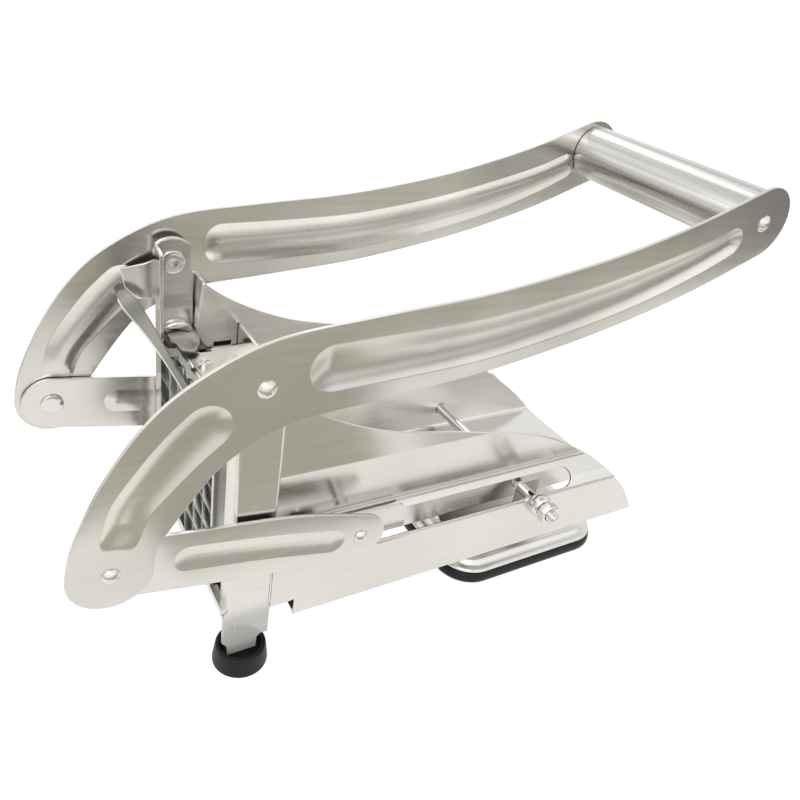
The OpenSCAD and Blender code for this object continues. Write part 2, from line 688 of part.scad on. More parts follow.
module grip_rod() color(bright_steel) from_pivot() {
    cross_pin(grip_pin[0], pivot_z + grip_pin[1], grip_rod_d / 2, -arm_out, arm_out);
    both_sides() dome(grip_pin[0], pivot_z + grip_pin[1], grip_rod_d / 2 + 0.8, 2, arm_out);
}

module grip_tube() color(bright_steel) from_pivot() difference() {
    cross_pin(grip_pin[0], pivot_z + grip_pin[1], grip_d / 2, slide_gap - arm_in, arm_in - slide_gap);
    cross_pin(grip_pin[0], pivot_z + grip_pin[1], grip_d / 2 - grip_t, -arm_out, arm_out);
}

module grip_bushes() color(dark_steel) from_pivot() both_sides() difference() {
    cross_pin(grip_pin[0], pivot_z + grip_pin[1], grip_d / 2 - grip_t, arm_in - slide_gap - 6,
        arm_in - slide_gap);
    cross_pin(grip_pin[0], pivot_z + grip_pin[1], grip_rod_d / 2 + run_fit, 0, arm_out);
}

trough();
left_skirt();
right_skirt();
left_upright();
right_upright();
front_brace();
front_sill();
left_blade_clip();
right_blade_clip();
pivot_rivets();
pivot_spacers();
left_foot();
right_foot();
rubber_pad();
pad_cover();
left_pad_hanger();
right_pad_hanger();
cross_rod();
cross_rod_nuts();
cross_rod_washers();
cartridge_frame();
vertical_blades();
horizontal_blades();
press_plate();
press_studs();
pusher_box();
pusher_back();
pusher_stem();
pusher_screws();
carriage();
link_pins();
left_link();
right_link();
left_rear_rivet();
right_rear_rivet();
left_arm();
right_arm();
front_rivets();
grip_rod();
grip_tube();
grip_bushes();
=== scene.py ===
"""A french fry cutter: a sheet steel body, a blade grid, and a lever that drives a pusher.

Sizes are in millimetres, counted back from the handle pivots along X and up from the table;
piece() moves them into the row frame.
"""
import math
from functools import partial

import bmesh
import bpy
import numpy as np
from mathutils import Matrix, Vector
from mathutils.geometry import delaunay_2d_cdt


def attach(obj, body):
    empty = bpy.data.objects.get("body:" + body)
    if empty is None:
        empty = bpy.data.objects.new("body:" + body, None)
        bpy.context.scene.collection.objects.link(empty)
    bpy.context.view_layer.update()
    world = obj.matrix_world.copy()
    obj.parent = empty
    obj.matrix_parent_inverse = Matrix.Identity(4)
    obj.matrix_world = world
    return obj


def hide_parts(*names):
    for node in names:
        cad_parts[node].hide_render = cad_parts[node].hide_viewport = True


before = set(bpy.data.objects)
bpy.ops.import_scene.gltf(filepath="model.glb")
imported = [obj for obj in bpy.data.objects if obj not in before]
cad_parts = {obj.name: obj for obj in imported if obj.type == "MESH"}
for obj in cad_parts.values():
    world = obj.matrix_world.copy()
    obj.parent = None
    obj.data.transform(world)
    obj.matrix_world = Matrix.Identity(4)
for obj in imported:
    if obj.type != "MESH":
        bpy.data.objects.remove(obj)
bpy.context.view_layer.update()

MM = 0.001
PIVOT_TO_PAD = 166.5
PIVOT_Z = 143.0

# Planes across the width, from the middle outwards
UPRIGHT_OUT = 54.6
UPRIGHT_T = 1.6
UPRIGHT_IN = UPRIGHT_OUT - UPRIGHT_T
SHEET_T = 1.2
WALL_IN = UPRIGHT_IN - SHEET_T
LINK_IN = UPRIGHT_OUT + 1.7
LINK_T = 1.6
LINK_OUT = LINK_IN + LINK_T
ARM_IN = LINK_OUT + 0.5
ARM_T = 1.6
ARM_OUT = ARM_IN + ARM_T

# Trough and skirts
FLOOR_Z = 34.0
FLOOR_HALF = 35.0
WALL_ANGLE = math.radians(15)
LEAN = math.tan(WALL_ANGLE)
BREAK_Z = FLOOR_Z + (WALL_IN - FLOOR_HALF) / LEAN
UPRIGHT_FRONT = 7.5
UPRIGHT_BACK = 11.5
LEDGE_RISE = 26
SKIRT_Y = FLOOR_HALF + LEDGE_RISE * LEAN + SHEET_T / math.cos(WALL_ANGLE)
SIDE = [[11.5, 100], [30, 87], [60, 74.5], [100, 66], [147, 53], [188, 32], [222, 7], [241, -17]]

# Blade grid
PITCH = 12
CELLS = 6
GRID_W = PITCH * CELLS
GRID_TOP = FLOOR_Z + GRID_W

# Linkage, relative to the handle pivots
ARM_PIN = (-53.6, -68.3)
LINK_PIN = (50.0, -84.5)
GRIP_PIN = (244.7, 51.5)
ARM_LINE = [[-53.6, -68.3], [-51, -55], [-40.8, -35.9], [-28, -18.4], [-13.4, -7.3], [8.4, 1.7],
            [45, 5.8], [95, 10.9], [150, 21.1], [200, 34.8], [244.7, 51.5]]
ARM_HALF = [17.6 + w for w in (-2.4, -2.7, -1.3, -0.5, 0.1, 0.3, 0.4, 0.2, 0, -0.1, -0.3)]
ROD_X, ROD_Z = 158.0, 45.0

# Radii of the pins, rivets and rods, and the clearance round those that turn
PIVOT_R, FRONT_PIN_R, REAR_PIN_R, GRIP_ROD_R, CROSS_ROD_R = 2.7, 2.2, 3.0, 3.2, 3.0
RUN_FIT = 0.05

SIDES = (("left", -1), ("right", 1))


# ---------------------------------------------------------------- outlines and sections

def smooth_path(points, steps):
    """Points on a smooth curve through the given ones."""
    p = np.array(points, float)
    out = []
    for i in range(len(p) - 1):
        a, b, c, d = p[max(i - 1, 0)], p[i], p[i + 1], p[min(i + 2, len(p) - 1)]
        for t in np.arange(steps) / steps:
            out.append(0.5 * (2 * b + (c - a) * t + (2 * a - 5 * b + 4 * c - d) * t * t
                              + (3 * b - a - 3 * c + d) * t ** 3))
    return np.array(out + [p[-1]])


def left_of(v):
    return np.stack([-v[..., 1], v[..., 0]], -1)


def unit(v):
    return v / np.maximum(np.linalg.norm(v, axis=-1, keepdims=True), 1e-12)


def strip(path, cap=16):
    """Closed outline of a strip: path rows are x, z and half-width, and its ends are round."""
    path = np.array(path, float)
    line, half = path[:, :2], path[:, 2:]
    side = left_of(unit(np.gradient(line, axis=0)))
    turn = np.linspace(0, math.pi, cap + 1)[1:-1, None]
    ahead = -left_of(side)
    front = line[-1] + half[-1] * (np.cos(turn) * side[-1] + np.sin(turn) * ahead[-1])
    back = line[0] - half[0] * (np.cos(turn) * side[0] + np.sin(turn) * ahead[0])
    return np.vstack([line + half * side, front, (line - half * side)[::-1], back])


def circle(x, z, r, count=28):
    a = np.arange(count) * 2 * math.pi / count
    return np.stack([x + r * np.cos(a), z + r * np.sin(a)], 1)


def corner(before, at, after, r, count):
    """Arc that rounds one corner of a path, unless the path is all but straight there."""
    straight, share_of_side = 1.5, 0.45
    u, v = unit(before - at), unit(after - at)
    half = math.acos(float(np.clip(u @ v, -1, 1))) / 2
    if half > straight or r <= 0:
        return [at]
    shorter = min(np.linalg.norm(before - at), np.linalg.norm(after - at))
    reach = min(r / math.tan(half), share_of_side * shorter)
    r = reach * math.tan(half)
    centre = at + unit(u + v) * r / math.sin(half)
    a0, a1 = (math.atan2(*(at + w * reach - centre)[::-1]) for w in (u, v))
    turn = (a1 - a0 + math.pi) % (2 * math.pi) - math.pi
    return [centre + r * np.array([math.cos(a0 + turn * k / count), math.sin(a0 + turn * k / count)])
            for k in range(count + 1)]


def rounded(points, r, closed=False, count=6):
    """A path whose corners are rounded. r is one radius, or one for each point."""
    p = np.array(points, float)
    radii = np.broadcast_to(r, len(p))
    out = []
    for i in range(len(p)):
        if closed or 0 < i < len(p) - 1:
            out += corner(p[i - 1], p[i], p[(i + 1) % len(p)], radii[i], count)
        else:
            out.append(p[i])
    return np.array(out)


class Section:
    """Section of a bent sheet: places along it are counted by length, and depth by its side."""

    def __init__(self, points, side=1, mirror=False):
        self.points = np.array(points, float)
        step = np.diff(self.points, axis=0)
        self.length = np.concatenate([[0], np.cumsum(np.linalg.norm(step, axis=1))])
        normal = left_of(unit(step)) * side
        both = np.vstack([normal[:1], normal]) + np.vstack([normal, normal[-1:]])
        self.normal = 2 * both / (both ** 2).sum(1, keepdims=True)
        self.mirror = mirror

    def at(self, v, t):
        """Point at a length along the section and a depth into the sheet."""
        sign = np.where(np.asarray(v) < 0, -1.0, 1.0) if self.mirror else 1.0
        w = np.abs(v) if self.mirror else v
        y, z = (np.interp(w, self.length, self.points[:, k])
                + t * np.interp(w, self.length, self.normal[:, k]) for k in (0, 1))
        return sign * y, z

    def find(self, z):
        """Length at which the section reaches a height, where it rises or falls all the way."""
        rising = self.points[-1, 1] > self.points[0, 1]
        order = slice(None) if rising else slice(None, None, -1)
        return np.interp(z, self.points[order, 1], self.length[order])

    def bends(self, x0, x1):
        """Lines along the bends, so that the sheet folds on them."""
        lines = [[(x0, v), (x1, v)] for v in self.length[1:-1]]
        return lines + ([[(x0, -v), (x1, -v)] for v in self.length[1:-1]] if self.mirror else [])


# ---------------------------------------------------------------- shells

def within(points, ring):
    """Which points lie inside a closed outline."""
    inside = np.zeros(len(points), bool)
    x, y = points[:, 0], points[:, 1]
    for (x0, y0), (x1, y1) in zip(ring, np.roll(ring, -1, axis=0)):
        if y0 != y1:
            inside ^= ((y0 > y) != (y1 > y)) & (x < (x1 - x0) * (y - y0) / (y1 - y0) + x0)
    return inside


def fill(outline, holes=(), lines=(), step=6.0):
    """Triangles over an outline less its holes, with the given lines kept as edges."""
    outline = np.array(outline, float)
    holes = [np.array(h, float) for h in holes]
    lines = [np.array(line, float) for line in lines]
    points, edges = [], []
    for run, closed in [(outline, 1), *((h, 1) for h in holes), *((line, 0) for line in lines)]:
        n = len(points)
        points += [Vector(p) for p in run]
        edges += [(n + i, n + (i + 1) % len(run)) for i in range(len(run) - 1 + closed)]
    # A grid of points between, clear of the edges
    clearance, tolerance = step * 0.35, 1e-4
    low, high = outline.min(0), outline.max(0)
    columns, rows = (np.arange(low[k] + step / 2, high[k], step) for k in (0, 1))
    grid = np.stack(np.meshgrid(columns, rows), -1).reshape(-1, 2)
    grid = grid[within(grid, outline)]
    for a, b in edges:
        a, b = np.array(points[a]), np.array(points[b])
        t = np.clip((grid - a) @ (b - a) / max((b - a) @ (b - a), 1e-9), 0, 1)
        grid = grid[np.linalg.norm(grid - a - t[:, None] * (b - a), axis=1) > clearance]
    points += [Vector(p) for p in grid]
    verts, _, faces, *_ = delaunay_2d_cdt(points, edges, [], 0, tolerance)
    verts = np.array([tuple(v) for v in verts])
    faces = np.array([f for f in faces if len(f) == 3])
    middle = verts[faces].mean(1)
    keep = within(middle, outline)
    for h in holes:
        keep &= ~within(middle, h)
    faces = faces[keep]
    a, b, c = (verts[faces[:, k]] for k in range(3))
    turned = np.cross(b - a, c - a) < 0
    faces[turned] = faces[turned][:, ::-1]
    return verts, faces


def slab(outline, place, thick, holes=(), lines=(), step=6.0, edge=0.25):
    """A sheet cut to an outline, with softened edges. place(u, v, t) gives the point at depth t.

    Each layer of points is a depth and how far it is drawn in from the outline.
    """
    flat, tris = fill(outline, holes, lines, step)
    sides = {(int(t[i]), int(t[(i + 1) % 3])) for t in tris for i in range(3)}
    rim = [e for e in sides if e[::-1] not in sides]
    inward = np.zeros_like(flat)
    for a, b in rim:
        n = left_of(unit(flat[b] - flat[a]))
        inward[a] += n
        inward[b] += n
    square, least = (inward ** 2).sum(1, keepdims=True), 0.5
    inward = np.where(square > least, 2 * inward / np.maximum(square, least), inward)
    shoulder = 0.29 * edge
    layers = [(thick, edge), (thick - shoulder, shoulder), (thick - edge, 0),
              (edge, 0), (shoulder, shoulder), (0, edge)]
    on_rim = sorted({a for a, _ in rim})
    index = {v: i for i, v in enumerate(on_rim)}
    verts, uvs, rows = [], [], []
    count = 0
    for i, (t, inset) in enumerate(layers):
        whole = i in (0, len(layers) - 1)
        pick = np.arange(len(flat)) if whole else np.array(on_rim)
        p = flat[pick] + inward[pick] * inset
        verts.append(place(p[:, 0], p[:, 1], t))
        uvs.append(p)
        rows.append((count, whole))
        count += len(pick)
    last = rows[-1][0]
    faces = [tuple(t) for t in tris.tolist()]
    faces += [tuple(last + v for v in t[::-1]) for t in faces]
    for (s0, w0), (s1, w1) in zip(rows, rows[1:]):
        for a, b in rim:
            a0, b0 = (s0 + (v if w0 else index[v]) for v in (a, b))
            a1, b1 = (s1 + (v if w1 else index[v]) for v in (a, b))
            faces.append((b0, a0, a1, b1))
    return np.vstack(verts), faces, np.vstack(uvs)


def loft(rings):
    """A closed shell through rings of points that match one another."""
    rings = [np.array(r, float) for r in rings]
    n = len(rings[0])
    verts = np.vstack(rings)
    faces = [(i * n + k, i * n + (k + 1) % n, (i + 1) * n + (k + 1) % n, (i + 1) * n + k)
             for i in range(len(rings) - 1) for k in range(n)]
    for start in (0, (len(rings) - 1) * n):
        verts = np.vstack([verts, verts[start:start + n].mean(0)])
        faces += [(start + k, start + (k + 1) % n, len(verts) - 1) for k in range(n)]
    return verts, faces, verts[:, :2]


def flat_plate(side, inner, dish=None):
    """Place of a plate that lies in a plane along the side: depth counts outwards from inner."""
    def place(u, v, t):
        y = inner + t - (dish(u, v) if dish else 0 * u)
        return np.stack([u, side * y, v], 1)
    return place


def bent_plate(section, side=1):
    """Place of a sheet bent to a section that runs straight along X."""
    def place(u, v, t):
        y, z = section.at(v, t)
        return np.stack([u, side * y, z], 1)
    return place


# ---------------------------------------------------------------- pieces

def new_object(name, data):
    obj = bpy.data.objects.new(name, data)
    bpy.context.scene.collection.objects.link(obj)
    return obj


def read(items, attribute, width=1, kind=float):
    """One attribute of all the items of a mesh, as an array."""
    values = np.zeros(len(items) * width, kind)
    items.foreach_get(attribute, values)
    return values


def dress(obj, body, nodes, slot):
    """Puts a finished mesh on its body, in the place of its solids, shaded by its larger faces."""
    mesh = obj.data
    mesh.shade_smooth()
    normals = read(mesh.polygons, "normal", 3).reshape(-1, 3) * read(mesh.polygons, "area")[:, None]
    summed = np.zeros((len(mesh.vertices), 3))
    np.add.at(summed, read(mesh.loops, "vertex_index", kind=int),
              np.repeat(normals, read(mesh.polygons, "loop_total", kind=int), axis=0))
    mesh.normals_split_custom_set_from_vertices(unit(summed).tolist())
    obj.name = obj.name.split(".")[0] + "_finished"
    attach(obj, body)
    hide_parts(*nodes)


def piece(name, shells, body, material, slot="sheet", node=None):
    """One visible piece from closed shells in millimetres, in the place of the node of its name."""
    verts, faces, uvs = [], [], []
    count = 0
    for v, f, uv in shells:
        verts.append(v)
        uvs.append(uv)
        faces += [tuple(count + i for i in face) for face in f]
        count += len(v)
    points = (np.vstack(verts) - [PIVOT_TO_PAD, 0, 0]) * MM
    mesh = bpy.data.meshes.new(name)
    mesh.from_pydata(points.tolist(), [], faces)
    bm = bmesh.new()
    bm.from_mesh(mesh)
    bmesh.ops.recalc_face_normals(bm, faces=bm.faces)
    bm.to_mesh(mesh)
    bm.free()
    layer = mesh.uv_layers.new(name="grain")
    grain = np.vstack(uvs)[read(mesh.loops, "vertex_index", kind=int)] * MM
    layer.data.foreach_set("uv", grain.ravel().astype(np.float32))
    mesh.materials.append(material)
    dress(new_object(name, mesh), body, [node or name], slot)


def feed(tree, node, **inputs):
    """Gives inputs, by name or number, a socket, a node's first output or a plain value."""
    for key, value in inputs.items():
        numbered = key[0] == "i" and key[1:].isdigit()
        socket = node.inputs[int(key[1:]) if numbered else key.rstrip("_").replace("_", " ")]
        if isinstance(value, bpy.types.Node):
            value = value.outputs[0]
        if isinstance(value, bpy.types.NodeSocket):
            tree.links.new(value, socket)
        else:
            socket.default_value = value


def add_node(tree, kind, settings=None, **inputs):
    """A new node with its settings and inputs."""
    node = tree.nodes.new(kind)
    for key, value in (settings or {}).items():
        setattr(node, key, value)
    feed(tree, node, **inputs)
    return node


def new_group(name, kind, inputs, outputs):
    """An empty node group with named sockets: the group, what it is given, and its add_node."""
    group = bpy.data.node_groups.new(name, kind)
    for label, socket_kind, value in inputs:
        socket = group.interface.new_socket(label, in_out="INPUT", socket_type="NodeSocket" + socket_kind)
        if value is not None:
            socket.default_value = value
    for label, socket_kind in outputs:
        group.interface.new_socket(label, in_out="OUTPUT", socket_type="NodeSocket" + socket_kind)
    add = partial(add_node, group)
    return group, add("NodeGroupInput").outputs, add


def grow(name, tree, points, edges, body, slot, node=None, **values):
    """Runs a geometry tree on a few points and keeps its plain mesh as a piece."""
    mesh = bpy.data.meshes.new(name)
    mesh.from_pydata(points, edges, [])
    source = new_object(name + "_source", mesh)
    modifier = source.modifiers.new("tree", "NODES")
    modifier.node_group = tree
    names = {i.name: i.identifier for i in tree.interface.items_tree if i.in_out == "INPUT"}
    for key, value in values.items():
        modifier[names[key.replace("_", " ")]] = value
    graph = bpy.context.evaluated_depsgraph_get()
    result = bpy.data.meshes.new_from_object(source.evaluated_get(graph))
    source.modifiers.remove(modifier)
    bpy.data.objects.remove(source)
    bpy.data.meshes.remove(mesh)
    result.name = name
    dress(new_object(name, result), body, [node or name], slot)


# ---------------------------------------------------------------- materials

def maths(add, operation, a, b=0.0, c=0.0):
    return add("ShaderNodeMath", {"operation": operation}, i0=a, i1=b, i2=c)


def swing(add, value, amount):
    """A noise value from 0 to 1, turned into one that swings about 0 by an amount."""
    return maths(add, "MULTIPLY", maths(add, "SUBTRACT", value, 0.5), amount)


def scale_vector(add, vector, factor):
    return add("ShaderNodeVectorMath", {"operation": "SCALE"}, i0=vector, Scale=factor)


def ramp(add, value, start, end, low=0.0, high=1.0, kind="SMOOTHSTEP"):
    """Goes from low to high while the value goes from start to end."""
    return add("ShaderNodeMapRange", {"interpolation_type": kind}, i0=value, i1=start, i2=end, i3=low,
               i4=high)


def noise(add, vector, scale, detail=2.0, **more):
    return add("ShaderNodeTexNoise", Vector=vector, Scale=scale, Detail=detail, **more)


def split(add, vector):
    """The X, Y and Z of a vector."""
    return add("ShaderNodeSeparateXYZ", Vector=vector).outputs


def mix_colours(add, factor, first, second):
    mixed = add("ShaderNodeMix", {"data_type": "RGBA"}, Factor=factor, i6=(*first, 1), i7=(*second, 1))
    return mixed.outputs[2]


def brushing_group():
    """Long fine scratches from an abrasive belt: a tone, a roughness and a height."""
    group, given, add = new_group(
        "belt_brushing", "ShaderNodeTree",
        [("Vector", "Vector", None), ("Stretch", "Vector", (60, 2500, 0)), ("Streaks", "Float", 0.3),
         ("Lines", "Float", 0.1), ("Rough", "Float", 0.3), ("Rough Spread", "Float", 0.1)],
        [("Tone", "Float"), ("Roughness", "Float"), ("Height", "Float")])
    broad_share = 0.16
    spot = add("ShaderNodeVectorMath", {"operation": "MULTIPLY"}, i0=given["Vector"], i1=given["Stretch"])
    fine = noise(add, spot, 1.0, 3.0, Roughness=0.6)
    broad = noise(add, scale_vector(add, spot, broad_share), 1.0)
    both = maths(add, "ADD", swing(add, fine, given["Lines"]), swing(add, broad, given["Streaks"]))
    rough = maths(add, "ADD", swing(add, broad, given["Rough Spread"]), given["Rough"])
    add("NodeGroupOutput", Tone=maths(add, "ADD", both, 1.0), Roughness=rough, Height=fine)
    return group


def clouding_group():
    """Slow changes of tone where a sheet was rolled, pressed and handled."""
    group, given, add = new_group(
        "sheet_clouding", "ShaderNodeTree",
        [("Vector", "Vector", None), ("Size", "Float", 30.0), ("Amount", "Float", 0.1)], [("Tone", "Float")])
    clouds = noise(add, given["Vector"], given["Size"], Roughness=0.4)
    add("NodeGroupOutput", Tone=maths(add, "ADD", swing(add, clouds, given["Amount"]), 1.0))
    return group


def rubber_group():
    """Moulded rubber: a fine grain and a little dust."""
    group, given, add = new_group(
        "moulded_rubber", "ShaderNodeTree",
        [("Vector", "Vector", None), ("Grain", "Float", 2500.0), ("Dust", "Float", 0.3)],
        [("Dust Mask", "Float"), ("Height", "Float")])
    patches = noise(add, given["Vector"], 90.0, 5.0, Roughness=0.65)
    add("NodeGroupOutput", Dust_Mask=ramp(add, patches, 0.45, 0.75, high=given["Dust"], kind="LINEAR"),
        Height=noise(add, given["Vector"], given["Grain"]))
    return group


BRUSHING, CLOUDING, RUBBER = brushing_group(), clouding_group(), rubber_group()


def new_material(name):
    """A material, its Principled BSDF, its node tree and the tree's add_node."""
    material = bpy.data.materials.new(name)
    material.use_nodes = True
    tree = material.node_tree
    return material, tree.nodes["Principled BSDF"], tree, partial(add_node, tree)


def steel(name, colour, rough, stretch=(60, 2500, 0), on_sheet=True, streaks=0.1, lines=0.12,
          rough_spread=0.1, cloud=0.12, cloud_size=28.0, bump=0.02, painted_pale_below=None):
    """Stainless steel. The grain follows the sheet's own lengths, or the row frame's axes.

    Below a given height, in metres, it turns paler and hardly metallic: a painted highlight.
    """
    material, bsdf, tree, add = new_material(name)
    where = add("ShaderNodeTexCoord").outputs["UV" if on_sheet else "Object"]
    brush = add("ShaderNodeGroup", {"node_tree": BRUSHING}, Vector=where, Stretch=stretch, Streaks=streaks,
                Lines=lines, Rough=rough, Rough_Spread=rough_spread)
    place = add("ShaderNodeTexCoord").outputs["Object"]
    clouds = add("ShaderNodeGroup", {"node_tree": CLOUDING}, Vector=place, Size=cloud_size, Amount=cloud)
    tone = maths(add, "MULTIPLY", brush.outputs["Tone"], clouds.outputs["Tone"])
    base = scale_vector(add, colour, tone)
    height = add("ShaderNodeBump", Strength=bump, Distance=0.0002, Height=brush.outputs["Height"])
    feed(tree, bsdf, Metallic=1.0, Roughness=brush.outputs["Roughness"], Normal=height)
    if painted_pale_below:
        # Painted highlight: the low part is made pale and matte so that it shows bright
        painted_pale_metallic, painted_pale_lift, blend = 0.05, 1.3, 0.012
        at = split(add, place)["Z"]
        metallic = ramp(add, at, painted_pale_below, painted_pale_below + blend, low=painted_pale_metallic)
        base = scale_vector(add, base, ramp(add, metallic, painted_pale_metallic, 1.0, painted_pale_lift, 1.0, "LINEAR"))
        feed(tree, bsdf, Metallic=metallic)
    feed(tree, bsdf, Base_Color=base)
    return material


def rubber(name, colour, dusty, rough):
    """Moulded rubber or plastic, with dust of a second colour in patches."""
    material, bsdf, tree, add = new_material(name)
    place = add("ShaderNodeTexCoord").outputs["Object"]
    skin = add("ShaderNodeGroup", {"node_tree": RUBBER}, Vector=place, Grain=2500.0, Dust=0.35)
    height = add("ShaderNodeBump", Strength=0.15, Distance=0.0001, Height=skin.outputs["Height"])
    tone = mix_colours(add, skin.outputs["Dust Mask"], colour, dusty)
    feed(tree, bsdf, Roughness=rough, Specular_IOR_Level=0.3, Base_Color=tone, Normal=height)
    return material


# The grain's stretch: waves per metre along and across it
ALL_WAYS, ALONG_Z, ALONG_Y = (900, 900, 900), (1500, 1500, 90), (2200, 14, 2200)

SHEET = steel("brushed_sheet", (0.75, 0.735, 0.70), 0.2)
# The leg's low end is pale and matte: a painted highlight
LEG_SHEET = steel("brushed_leg_sheet", (0.76, 0.745, 0.71), 0.2, painted_pale_below=0.024)
ARM_SHEET = steel("pressed_arm_sheet", (0.71, 0.70, 0.655), 0.21, cloud=0.5, cloud_size=20.0)
BRACE_SHEET = steel("dull_brace_sheet", (0.25, 0.245, 0.215), 0.3)
CLIP_SHEET = steel("spring_clip_sheet", (0.60, 0.59, 0.55), 0.24, cloud=0.3, cloud_size=90.0)
# Near-black steel that paints shade where only the dark inside of the body is seen
PAINTED_SHADE = steel("painted_shade_steel", (0.03, 0.03, 0.028), 0.5)
BRIGHT = steel("bright_steel", (0.76, 0.755, 0.735), 0.12, ALL_WAYS, False, streaks=0.06, lines=0.04,
               cloud=0.05, bump=0.01)
BLADE = steel("ground_blade_steel", (0.62, 0.62, 0.60), 0.2, ALONG_Z, False)
GRIP = steel("lined_grip_steel", (0.60, 0.59, 0.57), 0.24, ALONG_Y, False, streaks=1.0, lines=0.6,
             rough_spread=0.25, cloud=0.08, bump=0.05)
DARK_PLASTIC = rubber("dark_bush_plastic", (0.05, 0.05, 0.05), (0.09, 0.09, 0.09), 0.45)
STEM_PLASTIC = rubber("grey_stem_plastic", (0.30, 0.30, 0.29), (0.36, 0.36, 0.35), 0.5)
FOOT_RUBBER = rubber("foot_rubber", (0.006, 0.006, 0.006), (0.02, 0.02, 0.02), 0.45)
PAD_RUBBER = rubber("pad_rubber", (0.012, 0.012, 0.014), (0.04, 0.04, 0.045), 0.38)


# ---------------------------------------------------------------- geometry trees

def placed(add, geometry, at, rotation=(0, 0, 0)):
    return add("GeometryNodeTransform", Geometry=geometry, Translation=at, Rotation=rotation)


def finished(add, geometry, metal):
    """The end of a tree: plain mesh with its material."""
    real = add("GeometryNodeRealizeInstances", Geometry=geometry)
    add("NodeGroupOutput", Geometry=add("GeometryNodeSetMaterial", Geometry=real, Material=metal))


def greater(add, value, limit):
    return add("FunctionNodeCompare", {"data_type": "FLOAT", "operation": "GREATER_THAN"}, i0=value,
               i1=limit)


def turned_tree():
    """A profile of radius and height, turned about a cross pin on both sides of the part."""
    tree, given, add = new_group("turned_pair", "GeometryNodeTree", [
        ("Geometry", "Geometry", None), ("Segments", "Int", 48), ("Across Flats", "Float", 0.0),
        ("X", "Float", 0.0), ("Z", "Float", 0.0), ("Start", "Float", 0.0), ("Twist", "Float", 0.0),
        ("Left", "Bool", True), ("Right", "Bool", True), ("Metal", "Material", None)],
        [("Geometry", "Geometry")])
    # The ring that sweeps the profile has a radius of its own, so the profile is shifted by as much
    ring_r, same_point = MM, 0.000004
    profile = add("GeometryNodeMeshToCurve", Mesh=placed(add, given["Geometry"], (-ring_r, 0, 0)))
    ring = add("GeometryNodeCurvePrimitiveCircle", Resolution=given["Segments"], Radius=ring_r)
    swept = add("GeometryNodeCurveToMesh", Curve=ring, Profile_Curve=profile)
    merged = add("GeometryNodeMergeByDistance", Geometry=swept, Distance=same_point)
    # Cut to a hexagon where there are flats
    sixth = math.pi / 3
    parts = split(add, add("GeometryNodeInputPosition"))
    angle = maths(add, "ARCTAN2", parts["Y"], parts["X"])
    off_flat = maths(add, "SUBTRACT", maths(add, "FLOORED_MODULO", angle, sixth), sixth / 2)
    half_flats = maths(add, "MULTIPLY", given["Across Flats"], 0.5)
    to_flat = maths(add, "DIVIDE", half_flats, maths(add, "COSINE", off_flat))
    squares = [maths(add, "MULTIPLY", parts[axis], parts[axis]) for axis in "XY"]
    radius = maths(add, "SQRT", maths(add, "ADD", *squares))
    ratio = maths(add, "DIVIDE", maths(add, "MINIMUM", radius, to_flat), maths(add, "MAXIMUM", radius, 1e-6))
    cut = add("ShaderNodeCombineXYZ", X=maths(add, "MULTIPLY", parts["X"], ratio),
              Y=maths(add, "MULTIPLY", parts["Y"], ratio), Z=parts["Z"])
    hexed = add("GeometryNodeSetPosition", Geometry=merged, Position=cut,
                Selection=greater(add, given["Across Flats"], 0.0))
    twisted = placed(add, hexed, (0, 0, 0), add("ShaderNodeCombineXYZ", Z=given["Twist"]))
    join = add("GeometryNodeJoinGeometry")
    for side, wanted in ((1, "Right"), (-1, "Left")):
        out = maths(add, "MULTIPLY", given["Start"], float(side))
        at = add("ShaderNodeCombineXYZ", X=given["X"], Y=out, Z=given["Z"])
        copy = placed(add, twisted, at, (side * math.pi / 2, 0, 0))
        switch = add("GeometryNodeSwitch", {"input_type": "GEOMETRY"}, Switch=given[wanted], True_=copy)
        feed(tree, join, i0=switch)
    finished(add, join, given["Metal"])
    return tree


def bars_tree():
    """Rows and columns of bars along X whose rear ends taper."""
    tree, given, add = new_group("tapered_bars", "GeometryNodeTree", [
        ("Geometry", "Geometry", None), ("Columns", "Int", 6), ("Rows", "Int", 6), ("Pitch", "Float", 0.012),
        ("Size", "Vector", (0.01, 0.01, 0.01)), ("Taper", "Float", 0.001),
        ("Taper Scale", "Vector", (1, 0.8, 0.8)), ("Centre", "Vector", (0, 0, 0)),
        ("Metal", "Material", None)], [("Geometry", "Geometry")])
    bar = add("GeometryNodeMeshCube", Size=given["Size"])
    facing = split(add, add("GeometryNodeInputNormal"))["X"]
    drawn = add("GeometryNodeExtrudeMesh", Mesh=bar, Selection=greater(add, facing, 0.9),
                Offset_Scale=given["Taper"])
    thin = add("ShaderNodeVectorMath", {"operation": "MULTIPLY"}, i0=add("GeometryNodeInputPosition"),
               i1=given["Taper Scale"])
    tapered = add("GeometryNodeSetPosition", Geometry=drawn, Selection=drawn.outputs["Top"], Position=thin)
    places = []
    for axis, label in (("Y", "Columns"), ("Z", "Rows")):
        step = add("ShaderNodeCombineXYZ", **{axis: given["Pitch"]})
        span = maths(add, "MULTIPLY", maths(add, "SUBTRACT", given[label], 1.0), -0.5)
        places.append(add("GeometryNodeMeshLine", Count=given[label], Offset=step,
                          Start_Location=scale_vector(add, step, span)))
    columns = add("GeometryNodeInstanceOnPoints", Points=places[0], Instance=places[1])
    grid = add("GeometryNodeRealizeInstances", Geometry=columns)
    bars = add("GeometryNodeInstanceOnPoints", Points=grid, Instance=tapered)
    real = add("GeometryNodeRealizeInstances", Geometry=bars)
    finished(add, placed(add, real, given["Centre"]), given["Metal"])
    return tree


TURNED, BARS = turned_tree(), bars_tree()


# ---------------------------------------------------------------- handle and links

